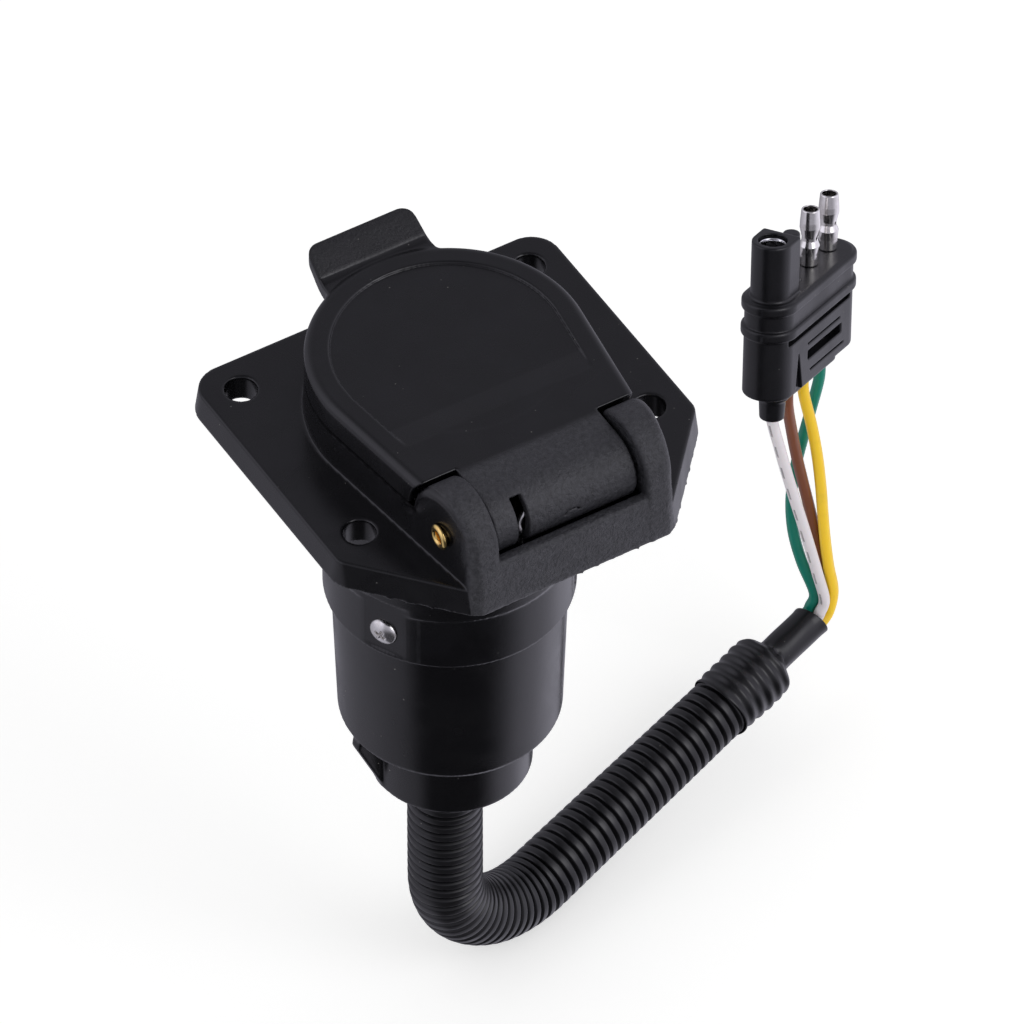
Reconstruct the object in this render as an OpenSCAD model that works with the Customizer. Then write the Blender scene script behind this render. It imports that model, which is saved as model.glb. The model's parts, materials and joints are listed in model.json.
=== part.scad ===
// Trailer wiring connector: a seven-way blade socket with a sprung flip lid,
// a corrugated loom and a four-way flat plug.
// Origin: on the socket's axis, at the flange's rear face. +Z runs out of the mouth,
// X runs along the lid's hinge, +Y points from the hinge to the finger tab. Millimetres.

/* [Flange] */
// Width of the flange along the hinge
flange_w = 87; // [84:0.5:92]
// From the socket's axis to the flange's edge on the tab side
flange_back = 34.2; // [33:0.1:38]
// From the socket's axis to the flange's edge on the hinge side
flange_front = 50.5; // [49:0.5:50.5]
// Thickness of the flange
flange_t = 6.5; // [5.5:0.1:7]
// Hole spacing along the hinge
hole_span_x = 70.5; // [69:0.5:72]
// Hole spacing across the hinge
hole_span_y = 48.6; // [47:0.1:50]
// Diameter of the flange holes
hole_d = 7; // [5:0.1:7.5]

/* [Socket] */
// Outer diameter of the raised mouth
mouth_od = 61.2; // [60:0.2:62]
// Bore of the mouth
mouth_id = 46.4; // [45.8:0.1:46.8]
// Height of the mouth above the flange
mouth_h = 9; // [8:0.5:10]
// Outer diameter of the barrel behind the flange
barrel_od = 54; // [53.6:0.2:55]
// Length of the barrel behind the flange
barrel_l = 46; // [45:0.5:48]

/* [Lid] */
// Height of the lid
lid_h = 7.4; // [7:0.1:8]
// Width of the finger tab at its end
tab_w = 25.3; // [18:0.1:30]
// Reach of the finger tab from the socket's axis
tab_reach = 37.9; // [36:0.1:39]
// Rise of the tab's end above the lid
tab_rise = 3.4; // [2:0.1:5]

/* [Hinge] */
// From the socket's axis to the hinge pin
hinge_reach = 40; // [39.5:0.1:40.5]
// Gap between the hinge ears
ear_gap = 35.6; // [35:0.1:37]
// Radius of an ear's round top
ear_r = 10.5; // [9.5:0.1:10.5]
// Diameter of the hinge pin
pin_d = 4; // [3:0.1:4]
// Wire diameter of the lid spring
spring_wire = 1.2; // [0.8:0.1:1.3]

/* [Contacts] */
// Radius of the circle the blades stand on
blade_circle = 15.5; // [15:0.1:16]
// Width of a blade
blade_w = 8.4; // [6:0.1:9]
// Thickness of a blade
blade_t = 1.6; // [1:0.1:1.8]
// Diameter of the centre pin
centre_pin_d = 5; // [4:0.1:5.5]

/* [Rear cover] */
// Diameter of the cover where it leaves the barrel
cover_d = 49.6; // [49:0.1:49.7]
// Diameter of the cover at its closed end
cover_end_d = 48.2; // [46:0.1:48.6]
// Distance from the flange to the cover's closed end
cover_end = 83.5; // [79:0.5:84]
// Diameter of the cover's neck
neck_d = 35.4; // [34:0.1:36]
// Length of the neck
neck_l = 17.5; // [15:0.5:19]

/* [Loom] */
// Outer diameter of the loom at the neck
loom_d = 16.4; // [15.6:0.1:16.6]
// Outer diameter of the loom at the heat shrink
loom_end_d = 14; // [13.4:0.1:15]
// Depth below the flange at which the loom starts to bend
bend_start = 138.5; // [125:0.5:145]
// Radius of the loom's bend
bend_r = 25.4; // [24:0.1:30]
// Compass heading of the loom after its bend, from +X towards +Y
heading = 16.5; // [10:0.5:25]
// How far the loom turns
bend_angle = 98; // [92:1:102]
// Length of the straight run from the bend to the end of the heat shrink
run_l = 90; // [80:1:100]
// Diameter of a wire
wire_d = 2.6; // [2:0.1:2.6]

/* [Flat plug] */
// Spacing of the four positions
plug_pitch = 9; // [8.8:0.1:9.2]
// Width of the plug body across the row
plug_w = 11.5; // [11:0.1:12]
// Height of the plug body above its wire exits
plug_h = 30.8; // [30:0.1:31.5]
// Height of the bullet pins above the body
bullet_h = 13.3; // [12:0.1:13.5]
// Largest diameter of a bullet pin
bullet_d = 4.6; // [4:0.1:4.8]

/* [Hidden] */
$fn = 96;
eps = 0.01;

black = "#1b1c20";
rubber_black = "#101012";
brass = "#b8923c";
nickel = "#c9cbd0";
zinc = "#d6d8dc";
steel = "#c4c6ca";

// Levels along the socket's axis
mouth_z = flange_t + mouth_h;
lid_gap = 0.2;
lid_z = mouth_z + lid_gap;
lid_top = flange_t + mouth_h + lid_gap + lid_h;
blade_tip_z = -0.8;
mouth_step_z = -0.5;
carrier_z = -15;
carrier_t = 12;
carrier_base = carrier_z - carrier_t;
post_gap = 0.2;
post_top = carrier_base - post_gap;
post_h = 10;
boss_top = carrier_z + 5;
pin_shank = 0.25;

// Flange
flange_draft = 0.9;
hole_mid_y = 1.6;
back_corner_r = 6.5;
chamfer_x = 23.5;
chamfer_y = 28;

// Socket
throat_d = mouth_id - 0.6;
carrier_seat_d = 48;
spigot_bore_d = 49.9;
key_w = 5;
key_depth = 1.6;
lid_r = mouth_od / 2 - 0.3;
side_angle = 7.5;
tail_y = -33;
far = 100;

// Hinge
axis_z = mouth_z;
barrel_r = lid_top - axis_z;
wall_front = hinge_reach + ear_r;
rim_r = 2.9;
rim_t = 0.9;
rim_x = (mouth_od / 2 - (hinge_reach - rim_r) * sin(side_angle)) / cos(side_angle) + 0.05;
wall_t = 3;
wall_top = flange_t + 5.9;
pin_hole_r = 1.2;
pin_fit = 0.05;
pin_bore_d = pin_d + 2 * pin_fit;
lid_ear_gap = 0.7;
notch_r = ear_r + 0.8;
coil_r = 4.4;
coil_room_r = coil_r + spring_wire / 2 + 0.25;
coil_turns = 9;
leg_x = 9.5;
slot_w = 2.5;

// Cover screws
screw_z = -barrel_l + 6.8;
screw_angles = [87.5, 207.5, 327.5];
screw_flat = barrel_od / 2 - 0.5;
flat_w = 16;
flat_h = 15;
flat_low = 5.7;
cover_wall = 2.2;
cover_step = 0.5;
spigot_top = carrier_base - 0.15;

// Four-way flat plug, standing beyond the loom's end
plug_at = [112, 40, -86];
plug_turn = [-8.2, 17.1, 29.4];
exit_pitch = 7.6;
rib_levels = [29.3, 23.1];
rib_h = 2.6;
sheath_w = 9.2;
post_d = 3.8;
post_drop = 1.9;
ring_drop = 0.9;
channel_play = 0.5;

// Sweeps
wire_sides = 10;
bundle = 1.45;
gather_z = -72;
facing = -31;
shrink_l = 31;
loom_cut = 16;
tube_d = 8;

// Blade positions, as seen from the mouth with the hinge at twelve o'clock
ground_at = 60;
brake_at = 120;
right_turn_at = 180;
battery_at = 240;
tail_lamp_at = 300;
left_turn_at = 0;

// ---- Curves ----------------------------------------------------------------

function unit(v) = v / norm(v);
function mix(a, b, t) = a + (b - a) * t;
function polar(r, a, z) = [r * cos(a), r * sin(a), z];
function smooth(t) = t * t * (3 - 2 * t);
function arc(c, r, from, to, steps = 12) =
    [for (i = [0:steps]) c + r * [cos(mix(from, to, i / steps)), sin(mix(from, to, i / steps))]];

// Rotation that OpenSCAD's rotate([x, y, z]) makes, for placing points
function turn_x(p, a) = [p.x, p.y * cos(a) - p.z * sin(a), p.y * sin(a) + p.z * cos(a)];
function turn_y(p, a) = [p.x * cos(a) + p.z * sin(a), p.y, -p.x * sin(a) + p.z * cos(a)];
function turn_z(p, a) = [p.x * cos(a) - p.y * sin(a), p.x * sin(a) + p.y * cos(a), p.z];
function turned(p, r) = turn_z(turn_y(turn_x(p, r.x), r.y), r.z);
function on_plug(p) = plug_at + turned(p, plug_turn);

// A smooth curve through every point of a list
function through(a, b, c, d, t) =
    0.5 * ((2 * b) + (c - a) * t + (2 * a - 5 * b + 4 * c - d) * t * t
    + (3 * b - a - 3 * c + d) * t * t * t);
function spline(p, steps) = concat(
    [for (i = [0:len(p) - 2], k = [0:steps - 1])
        through(p[max(i - 1, 0)], p[i], p[i + 1], p[min(i + 2, len(p) - 1)], k / steps)],
    [p[len(p) - 1]]);

function tangent(p, i) = unit(p[min(i + 1, len(p) - 1)] - p[max(i - 1, 0)]);
function square_to(n, t) = unit(n - (n * t) * t);
function normals(p, first) =
    [for (i = 0, n = square_to(first, tangent(p, 0)); i < len(p);
        i = i + 1, n = square_to(n, tangent(p, min(i, len(p) - 1)))) n];
function ring(p, n, t, r, sides) =
    [for (k = [0:sides - 1])
        p + r * (cos(360 * k / sides) * n + sin(360 * k / sides) * cross(t, n))];
function skin(rows, sides, start = 0, flip = false) =
    [for (i = [0:rows - 2], k = [0:sides - 1], half = [0, 1])
        let (a = start + i * sides + k,
             b = start + i * sides + (k + 1) % sides,
             tri = half == 0 ? [a, a + sides, b] : [b, a + sides, b + sides])
        flip ? [tri[2], tri[1], tri[0]] : tri];

// A round solid that follows a list of points
module sweep(p, r, sides) {
    n = normals(p, [0, 1, 0]);
    points = [for (i = [0:len(p) - 1]) each ring(p[i], n[i], tangent(p, i), r, sides)];
    last = (len(p) - 1) * sides;
    polyhedron(points, concat(
        skin(len(p), sides),
        [for (k = [1:sides - 2]) [0, k, k + 1]],
        [for (k = [1:sides - 2]) [last, last + k + 1, last + k]]), convexity = 10);
}

// A tube that follows a list of points, with an outer and an inner radius at each
module sweep_tube(p, outer, inner, sides) {
    n = normals(p, [0, 1, 0]);
    count = len(p) * sides;
    last = (len(p) - 1) * sides;
    points = concat(
        [for (i = [0:len(p) - 1]) each ring(p[i], n[i], tangent(p, i), outer[i], sides)],
        [for (i = [0:len(p) - 1]) each ring(p[i], n[i], tangent(p, i), inner[i], sides)]);
    polyhedron(points, concat(
        skin(len(p), sides),
        skin(len(p), sides, count, true),
        [for (k = [0:sides - 1], half = [0, 1])
            let (next = (k + 1) % sides)
            half == 0 ? [k, next, count + k] : [next, count + next, count + k]],
        [for (k = [0:sides - 1], half = [0, 1])
            let (next = (k + 1) % sides)
            half == 0 ? [last + next, last + k, count + last + k]
                : [last + next, count + last + k, count + last + next]]), convexity = 10);
}

// ---- The loom's route ------------------------------------------------------

head = [cos(heading), sin(heading), 0];
side = [-sin(heading), cos(heading), 0];
run_dir = head * sin(bend_angle) + [0, 0, -cos(bend_angle)];
bend_end = head * bend_r * (1 - cos(bend_angle)) + [0, 0, -bend_start - bend_r * sin(bend_angle)];
run_end = bend_end + run_dir * run_l;

// A point of the bend, and of the run, moved sideways and up in the loom's own section
function bend_at(a, s, u) =
    (bend_r - u) * (-cos(a) * head - sin(a) * [0, 0, 1])
    + bend_r * head - [0, 0, bend_start] + side * s;
function run_at(l, s, u) =
    bend_end + run_dir * l + side * s + cross(run_dir, side) * u;
function bend_list(s = 0, u = 0) = [for (a = [7:7:bend_angle - 3]) bend_at(a, s, u)];
function drop_at(z, s, u) = [0, 0, z] + side * s + head * u;

// ---- Flat outlines ---------------------------------------------------------

// Flange: round corners on the tab side, chamfered corners on the hinge side
module flange_outline() {
    w = flange_w / 2;
    r = back_corner_r;
    polygon(concat(
        arc([w - r, flange_back - r], r, 0, 90),
        arc([-w + r, flange_back - r], r, 90, 180),
        [[-w, -chamfer_y], [-chamfer_x, -flange_front],
         [chamfer_x, -flange_front], [w, -chamfer_y]]));
}

// Round on the tab side, with straight sides that draw in towards the hinge
module teardrop(r, angle = side_angle, end = tail_y) {
    from = r * [cos(angle), -sin(angle)];
    reach = (-end - r * sin(angle)) * tan(angle);
    circle(r = r);
    polygon([from, [-from.x, from.y], [-from.x + reach, end], [from.x - reach, end]]);
}

module stadium(l, w) {
    r = w / 2;
    square([l - w, w], center = true);
    translate([l / 2 - r, 0]) circle(r = r);
    translate([-l / 2 + r, 0]) circle(r = r);
}

// Finger tab: tapers slightly to two round corners
module tab_outline() {
    r = 3;
    half = tab_w / 2;
    polygon(concat(
        [[-half - 0.8, 26], [half + 0.8, 26]],
        arc([half - r, tab_reach - r], r, 0, 90),
        arc([-half + r, tab_reach - r], r, 90, 180)));
}

// ---- Socket ----------------------------------------------------------------

// Both hinge ears as one block across the socket
module ears() {
    rotate([90, 0, 90])
    linear_extrude(far, center = true) {
        translate([-hinge_reach, axis_z]) circle(r = ear_r);
        translate([-hinge_reach - ear_r, 0]) square([2 * ear_r, axis_z]);
    }
}

module x_rod(length, r) {
    translate([-length / 2, -hinge_reach, axis_z])
    rotate([0, 90, 0])
    cylinder(h = length, r = r);
}

// Places children at the three cover screws, pointing outwards along their own +X
module screw_places() {
    for (a = screw_angles)
        rotate([0, 0, a]) translate([0, 0, screw_z]) children();
}

module socket_housing() {
    color(black)
    difference() {
        union() {
            hull() {
                linear_extrude(flange_draft) offset(delta = flange_draft) flange_outline();
                linear_extrude(flange_t) flange_outline();
            }
            linear_extrude(mouth_z) teardrop(mouth_od / 2, end = -hinge_reach + barrel_r + 1);
            // Ears and front wall, cut off flush with the mouth's straight sides
            intersection() {
                linear_extrude(far) teardrop(mouth_od / 2, end = -wall_front - 1);
                union() {
                    difference() {
                        ears();
                        cube([ear_gap, 2 * far, 2 * far], center = true);
                    }
                    translate([-far / 2, -wall_front, 0]) cube([far, wall_t, wall_top]);
                }
            }
            translate([0, 0, -barrel_l]) cylinder(h = barrel_l + eps, d = barrel_od);
        }
        // Mouth, throat, carrier seat and spigot bore
        translate([0, 0, mouth_step_z]) cylinder(h = mouth_z + 2, d = mouth_id);
        translate([0, 0, carrier_z - 1]) cylinder(h = 30, d = throat_d);
        translate([0, 0, carrier_base - 0.1])
            cylinder(h = carrier_z - carrier_base + 0.1, d = carrier_seat_d);
        translate([0, 0, -barrel_l - 1])
            cylinder(h = barrel_l + 1 + carrier_base - 0.1, d = spigot_bore_d);
        // Keyway for the mating plug
        translate([-key_w / 2, 0, carrier_z]) cube([key_w, throat_d / 2 + key_depth, 40]);
        // Room for the lid's hinge barrel between the ears
        intersection() {
            x_rod(ear_gap, barrel_r + 0.9);
            translate([-far / 2, -hinge_reach - 8.5, flange_t]) cube([far, 20, 40]);
        }
        // Pin bore through both ears
        x_rod(far, pin_bore_d / 2);
        // Flange holes
        for (x = [-1, 1], y = [-1, 1])
            translate([x * hole_span_x / 2, hole_mid_y + y * hole_span_y / 2, -1])
                cylinder(h = flange_t + 2, d = hole_d);
        // Flats and clearance holes for the cover screws
        screw_places() {
            translate([screw_flat, -flat_w / 2, -flat_low]) cube([4, flat_w, flat_h]);
            rotate([0, 90, 0]) cylinder(h = 40, r = 1.6);
        }
    }
}

// ---- Lid -------------------------------------------------------------------

module tab() {
    top = lid_top + tab_rise;
    intersection() {
        translate([0, 0, lid_z]) linear_extrude(20) tab_outline();
        rotate([90, 0, 90])
            linear_extrude(60, center = true)
            polygon([
                [27, lid_top - 4.5], [31, lid_top - 4.2], [tab_reach + 0.6, top - 2.9],
                [tab_reach, top], [29.3, lid_top - 0.7], [27, lid_top - 0.7]]);
    }
}

// Shallow dish on the lid's top: deepest at the tab side, fading out near the hinge
module lid_dish() {
    depth = 0.7;
    fade_y = -20;
    dish_r = 24.9;
    intersection() {
        translate([0, 0, lid_top - 5]) linear_extrude(10) teardrop(dish_r, 6.8, fade_y);
        translate([0, fade_y, lid_top])
            rotate([-atan(depth / (dish_r - fade_y)), 0, 0])
            translate([-far / 2, 0, 0]) cube([far, 60, 5]);
    }
}

// The open channel that lets the lid swing past the spring's fixed leg
module leg_slot() {
    from = 85;
    to = 245;
    translate([-leg_x - slot_w / 2, -hinge_reach, axis_z])
    rotate([90, 0, 90])
    linear_extrude(slot_w)
    polygon(concat([[0, 0]], arc([0, 0], barrel_r + 3, from, to, 16)));
}

module lid() {
    skirt_r = 27.6;
    knuckle = ear_gap - 2 * lid_ear_gap;
    color(black)
    difference() {
        union() {
            difference() {
                translate([0, 0, lid_z]) linear_extrude(lid_h) teardrop(lid_r);
                // Round notches that clear the hinge ears
                for (x = [-1, 1])
                    translate([x * (knuckle / 2 + 15), 0, 0]) x_rod(30, notch_r);
            }
            translate([-knuckle / 2, -hinge_reach, lid_z]) cube([knuckle, 12, lid_h]);
            x_rod(knuckle, barrel_r);
            tab();
        }
        // Seat of the gasket, and the hollow above it
        translate([0, 0, lid_z - 1]) cylinder(h = 3.6, r = skirt_r);
        translate([0, 0, lid_z]) cylinder(h = lid_h - 2.8, r = 21.5);
        lid_dish();
        x_rod(60, pin_bore_d / 2);
        x_rod(24, coil_room_r);
        leg_slot();
        // Groove for the spring's moving leg
        translate([leg_x - 0.9, -hinge_reach, lid_z - 2])
            cube([1.8, 14, axis_z + coil_r + 0.9 - lid_z + 2]);
    }
    // Catch that holds a mated plug
    color(black)
        translate([-6, 2, lid_top - 5.6]) cube([12, 4, 3]);
}

module lid_seal() {
    color(rubber_black)
    translate([0, 0, mouth_z + 0.05])
    difference() {
        cylinder(h = lid_z + 2.6 - mouth_z - 0.1, r = 27.5);
        translate([0, 0, -1]) cylinder(h = 6, r = 22);
    }
}

module hinge_pin() {
    color("#c8a04a")
    difference() {
        union() {
            x_rod(2 * rim_x + rim_t, pin_d / 2);
            for (x = [-1, 1])
                translate([x * (rim_x + rim_t / 2), 0, 0]) x_rod(rim_t, rim_r);
        }
        x_rod(far, pin_hole_r);
    }
}

// Coil round the pin, one leg down to the housing and one along under the lid
module torsion_spring() {
    steps = 14;
    count = steps * coil_turns;
    coil = [for (i = [0:count])
        let (a = 180 - 360 * i / steps - 90 * i / count)
        [mix(-leg_x, leg_x, i / count),
         -hinge_reach + coil_r * cos(a),
         axis_z + coil_r * sin(a)]];
    foot = [-leg_x, -hinge_reach - coil_r, flange_t + 0.9];
    hand = [leg_x, -hinge_reach + 12.5, axis_z + coil_r];
    color(steel)
        sweep(concat([foot], coil, [hand]), spring_wire / 2, 8);
}

// ---- Contacts --------------------------------------------------------------

module blade(angle) {
    chamfer = 1.2;
    color(brass)
    rotate([0, 0, angle])
    difference() {
        union() {
            translate([blade_circle - blade_t / 2, 0, 0])
                rotate([90, 0, 90])
                linear_extrude(blade_t)
                polygon([
                    [-blade_w / 2, post_top - eps], [blade_w / 2, post_top - eps],
                    [blade_w / 2, blade_tip_z - chamfer], [blade_w / 2 - chamfer, blade_tip_z],
                    [-blade_w / 2 + chamfer, blade_tip_z], [-blade_w / 2, blade_tip_z - chamfer]]);
            translate([blade_circle - 3.5, -4.5, post_top - post_h]) cube([7, 9, post_h]);
        }
        translate([blade_circle, 0, post_top - post_h - 1]) cylinder(h = 9, r = 1.6);
        translate([blade_circle, 0, post_top - 6]) rotate([0, 90, 0]) cylinder(h = 8, r = 1.5);
    }
}

module centre_pin() {
    r = centre_pin_d / 2;
    shank_r = r + pin_shank;
    tip = blade_tip_z - 2;
    color(brass)
    difference() {
        rotate_extrude()
            polygon(concat(
                [[0, post_top - post_h], [3.6, post_top - post_h], [3.6, post_top - 2],
                 [4.4, post_top - 2], [4.4, post_top], [shank_r, post_top],
                 [shank_r, boss_top + 0.3], [r, boss_top + 0.3], [r, tip - 1.2]],
                arc([r - 1.2, tip - 1.2], 1.2, 15, 90, 5),
                [[0, tip]]));
        translate([0, 0, post_top - post_h - 1]) cylinder(h = 9, r = 1.6);
        translate([0, 0, post_top - 6]) rotate([0, 90, 90]) cylinder(h = 8, r = 1.5);
    }
}

module terminal_screw(start) {
    slot = 0.6;
    difference() {
        union() {
            translate([start + 2, 0, 0]) rotate([0, 90, 0]) cylinder(h = 1.6, r = 2.2);
            translate([start - 0.35, 0, 0]) rotate([0, 90, 0]) cylinder(h = 2.55, r = 1.46);
        }
        translate([start + 2.9, -slot / 2, -3]) cube([2, slot, 6]);
    }
}

module terminal_screws() {
    color(zinc)
    translate([0, 0, post_top - 6]) {
        for (a = [0:60:300]) rotate([0, 0, a]) terminal_screw(blade_circle + 1.8);
        rotate([0, 0, 90]) terminal_screw(1.9);
    }
}

module contact_carrier() {
    play = 0.05;
    color("#26272b")
    difference() {
        union() {
            translate([0, 0, carrier_base]) cylinder(h = carrier_t - 0.1, d = carrier_seat_d - 0.2);
            translate([0, 0, carrier_z - 1]) cylinder(h = boss_top - carrier_z + 1, r = 6);
        }
        translate([0, 0, carrier_base - 1]) cylinder(h = 30, r = centre_pin_d / 2 + pin_shank + play);
        for (a = [0:60:300])
            rotate([0, 0, a])
            translate([blade_circle - blade_t / 2 - play, -blade_w / 2 - play, carrier_base - 1])
                cube([blade_t + 2 * play, blade_w + 2 * play, 30]);
        // Notch that lines the carrier up with the keyway
        translate([-key_w / 2, throat_d / 2 - 3, carrier_z - 3]) cube([key_w, 8, 8]);
    }
}

// ---- Rear cover ------------------------------------------------------------

module cover_shell() {
    end_z = -cover_end;
    r0 = cover_d / 2;
    r1 = cover_end_d / 2;
    w = cover_wall;
    rotate_extrude()
        polygon([
            [r0, spigot_top], [r0, -barrel_l - 0.1], [r0 + cover_step, -barrel_l - 0.1],
            [r1, end_z + 1.2], [r1 - 0.5, end_z + 0.8],
            [r1 - 0.5, end_z], [neck_d / 2, end_z], [neck_d / 2, end_z - neck_l],
            [neck_d / 2 - 3.2, end_z - neck_l], [neck_d / 2 - 3.2, end_z + w],
            [r1 - w, end_z + w], [r0 - w, -barrel_l], [r0 - w, spigot_top]]);
}

// Web between the cover's end and its neck
module gusset(angle) {
    t = 3;
    end_z = -cover_end;
    rotate([0, 0, angle])
    rotate([90, 0, 0])
    linear_extrude(t, center = true)
    polygon([
        [neck_d / 2 - 1, end_z + 0.5], [cover_end_d / 2 - 1, end_z + 0.5],
        [cover_end_d / 2 - 0.2, end_z - 2.6], [neck_d / 2, end_z - neck_l],
        [neck_d / 2 - 1, end_z - neck_l]]);
}

module rear_cover() {
    color(black)
    difference() {
        union() {
            cover_shell();
            for (a = [0, 180]) gusset(a);
            // Bosses that the radial screws bite into
            screw_places()
                translate([cover_d / 2 - 6, 0, 0]) rotate([0, 90, 0]) cylinder(h = 5, r = 3.2);
        }
        screw_places()
            translate([cover_d / 2 - 7, 0, 0]) rotate([0, 90, 0]) cylinder(h = 12, r = 1.35);
    }
}

// Pan head with a cross recess, and a plain shank
module cover_screw() {
    head_r = 3.3;
    head_h = 1.6;
    difference() {
        union() {
            translate([screw_flat + 0.02, 0, 0])
                rotate([0, 90, 0])
                rotate_extrude()
                polygon(concat([[0, 0], [head_r, 0], [head_r, 0.6]],
                    arc([head_r - 0.9, head_h - 0.9], 0.9, 10, 90, 4), [[0, head_h]]));
            translate([cover_d / 2 - 6.5, 0, 0])
                rotate([0, 90, 0])
                cylinder(h = screw_flat - cover_d / 2 + 6.6, r = 1.33);
        }
        for (a = [0, 90])
            translate([screw_flat + 0.5, 0, 0])
                rotate([a, 0, 0])
                translate([0, -1.5, -0.35]) cube([2, 3, 0.7]);
    }
}

module cover_screws() {
    color(zinc) screw_places() cover_screw();
}

module cable_grommet() {
    r = neck_d / 2 - 3.3;
    bottom = -cover_end - neck_l;
    color(rubber_black)
    translate([0, 0, bottom + 0.3])
    difference() {
        cylinder(h = 14, r = r);
        translate([0, 0, -1]) cylinder(h = 20, r = loom_d / 2 + 0.15);
    }
}

// ---- Loom and wires --------------------------------------------------------

loom_top = -cover_end - 0.5;

// Centre line of the loom, from inside the neck to the heat shrink
loom_line = concat(
    [[0, 0, loom_top], [0, 0, -bend_start + 12], [0, 0, -bend_start]],
    bend_list(),
    [for (l = [0:12:run_l - loom_cut - 6]) run_at(l, 0, 0)],
    [run_at(run_l - loom_cut, 0, 0)]);

module loom() {
    wall = 1.6;
    count = len(loom_line) - 1;
    outer = [for (i = [0:count]) i < 3 ? loom_d / 2
        : mix(loom_d / 2, loom_end_d / 2, (i - 3) / (count - 3))];
    color(black)
        sweep_tube(loom_line, outer, [for (r = outer) r - wall], 20);
}

// Sleeve over the loom's last ribs, then a narrow tube round the wires
module heat_shrink() {
    wall = 0.5;
    r = loom_end_d / 2 + 0.75;
    cut = run_l - loom_cut;
    start = run_l - shrink_l;
    stations = [start, start + 5, cut + 0.6, cut + 2.2, cut + 3.6, run_l - 6, run_l];
    outer = [r, r, r - 0.1, tube_d / 2 + 1, tube_d / 2, tube_d / 2, tube_d / 2];
    color(rubber_black)
        sweep_tube([for (l = stations) run_at(l, 0, 0)], outer,
            [for (o = outer) o - wall + (o < 5 ? 0.05 : 0)], 24);
}

// A wire from its terminal, through the loom, up to its place in the flat plug.
// s, u: its corner of the bundle; bow, sway: how it wanders on the open stretch;
// lean: how far it stands out towards the front there
module wire(angle, s, u, place, bow, sway, lean) {
    across = [cos(facing), sin(facing), 0];
    front = [sin(facing), -cos(facing), 0];
    gathered = drop_at(gather_z, s, u);
    gathered_at = atan2(gathered.y, gathered.x);
    gathered_r = norm([gathered.x, gathered.y]);
    lead_top = post_top - post_h - 1;
    lead = concat(
        [polar(blade_circle, angle, post_top - post_h + 6)],
        [for (t = [0:0.125:1])
            polar(mix(blade_circle, gathered_r, smooth(t)), mix(angle, gathered_at, smooth(t)),
                mix(lead_top, gather_z, t))]);
    start = run_at(run_l + 4 - u, s, 0) + [0, 0, 5.5];
    exit = on_plug([place * exit_pitch, 0, 0]);
    loose = spline(concat(
        [run_at(run_l - 3, s, u), run_at(run_l + 0.3, s, u),
         run_at(run_l + 2.6 - 0.85 * u, s, 0.85 * u) + [0, 0, 1.2]],
        [for (t = [0:0.14:0.9])
            mix(start, exit, t) + across * (bow * sin(180 * t) + sway * sin(360 * t))
            + front * lean * sin(180 * t)],
        [exit, on_plug([place * exit_pitch, 0, 5])]), 4);
    sweep(concat(
        lead,
        [for (z = [-90, -115, -bend_start]) drop_at(z, s, u)],
        bend_list(s, u),
        [for (l = [0:20:run_l - 10]) run_at(l, s, u)],
        loose), wire_d / 2, wire_sides);
}

module wire_white() { color("#f2f2ee") wire(ground_at, -bundle, bundle, -1.5, -0.11, 0.18, -0.33); }
module wire_brown() { color("#6b3a1e") wire(tail_lamp_at, bundle, -bundle, -0.5, 0.01, 0.37, -1.01); }
module wire_yellow() { color("#f2d21a") wire(left_turn_at, -bundle, -bundle, 0.5, 0.73, -0.5, 1.64); }
module wire_green() { color("#1f8a3c") wire(right_turn_at, bundle, bundle, 1.5, -5.29, -0.94, -1.02); }

// ---- Four-way flat plug ----------------------------------------------------

module on_plug_frame() {
    translate(plug_at) rotate(plug_turn) children();
}

module plug_body() {
    row = 3 * plug_pitch;
    ground_x = -1.5 * plug_pitch;
    color(black)
    on_plug_frame()
    difference() {
        union() {
            translate([0, 0, 9]) linear_extrude(plug_h - 9) stadium(row + plug_w, plug_w);
            translate([0, 0, 5]) linear_extrude(5) stadium(row + plug_w - 4, plug_w - 2);
            for (z = rib_levels)
                translate([0, 0, z - rib_h / 2]) linear_extrude(rib_h)
                    stadium(row + plug_w + 1.5, plug_w + 1.5);
            // Sheath round the ground terminal: square on the side that faces the pins
            translate([ground_x, 0, plug_h - 1]) linear_extrude(bullet_h + 1) {
                circle(d = sheath_w);
                translate([0, -sheath_w / 2]) square([sheath_w / 2, sheath_w]);
            }
            // Post moulded over the brown circuit's pin
            translate([-0.5 * plug_pitch, 0, plug_h - 1])
                cylinder(h = bullet_h - post_drop + 1, d = post_d);
            // Strain-relief bosses
            for (i = [-1.5:1:1.5])
                translate([i * exit_pitch, 0, i < -1 ? 0.2 : 5]) cylinder(h = 5.5, r = 3.1);
        }
        // Wire channels
        for (i = [-1.5:1:1.5])
            translate([i * exit_pitch, 0, -1]) cylinder(h = 8, r = wire_d / 2 + channel_play);
        // Seats of the contacts
        translate([ground_x, 0, 12]) cylinder(h = 50, r = 3.2);
        for (i = [0.5, 1.5])
            translate([i * plug_pitch, 0, 12]) cylinder(h = 50, r = 1.6);
        translate([-0.5 * plug_pitch, 0, 12]) cylinder(h = 50, r = 1.1);
        // Slot in the broad front face
        translate([-6.2, -plug_w / 2 - 1, 13.4]) cube([16, 3.2, 2.2]);
    }
}

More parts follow.
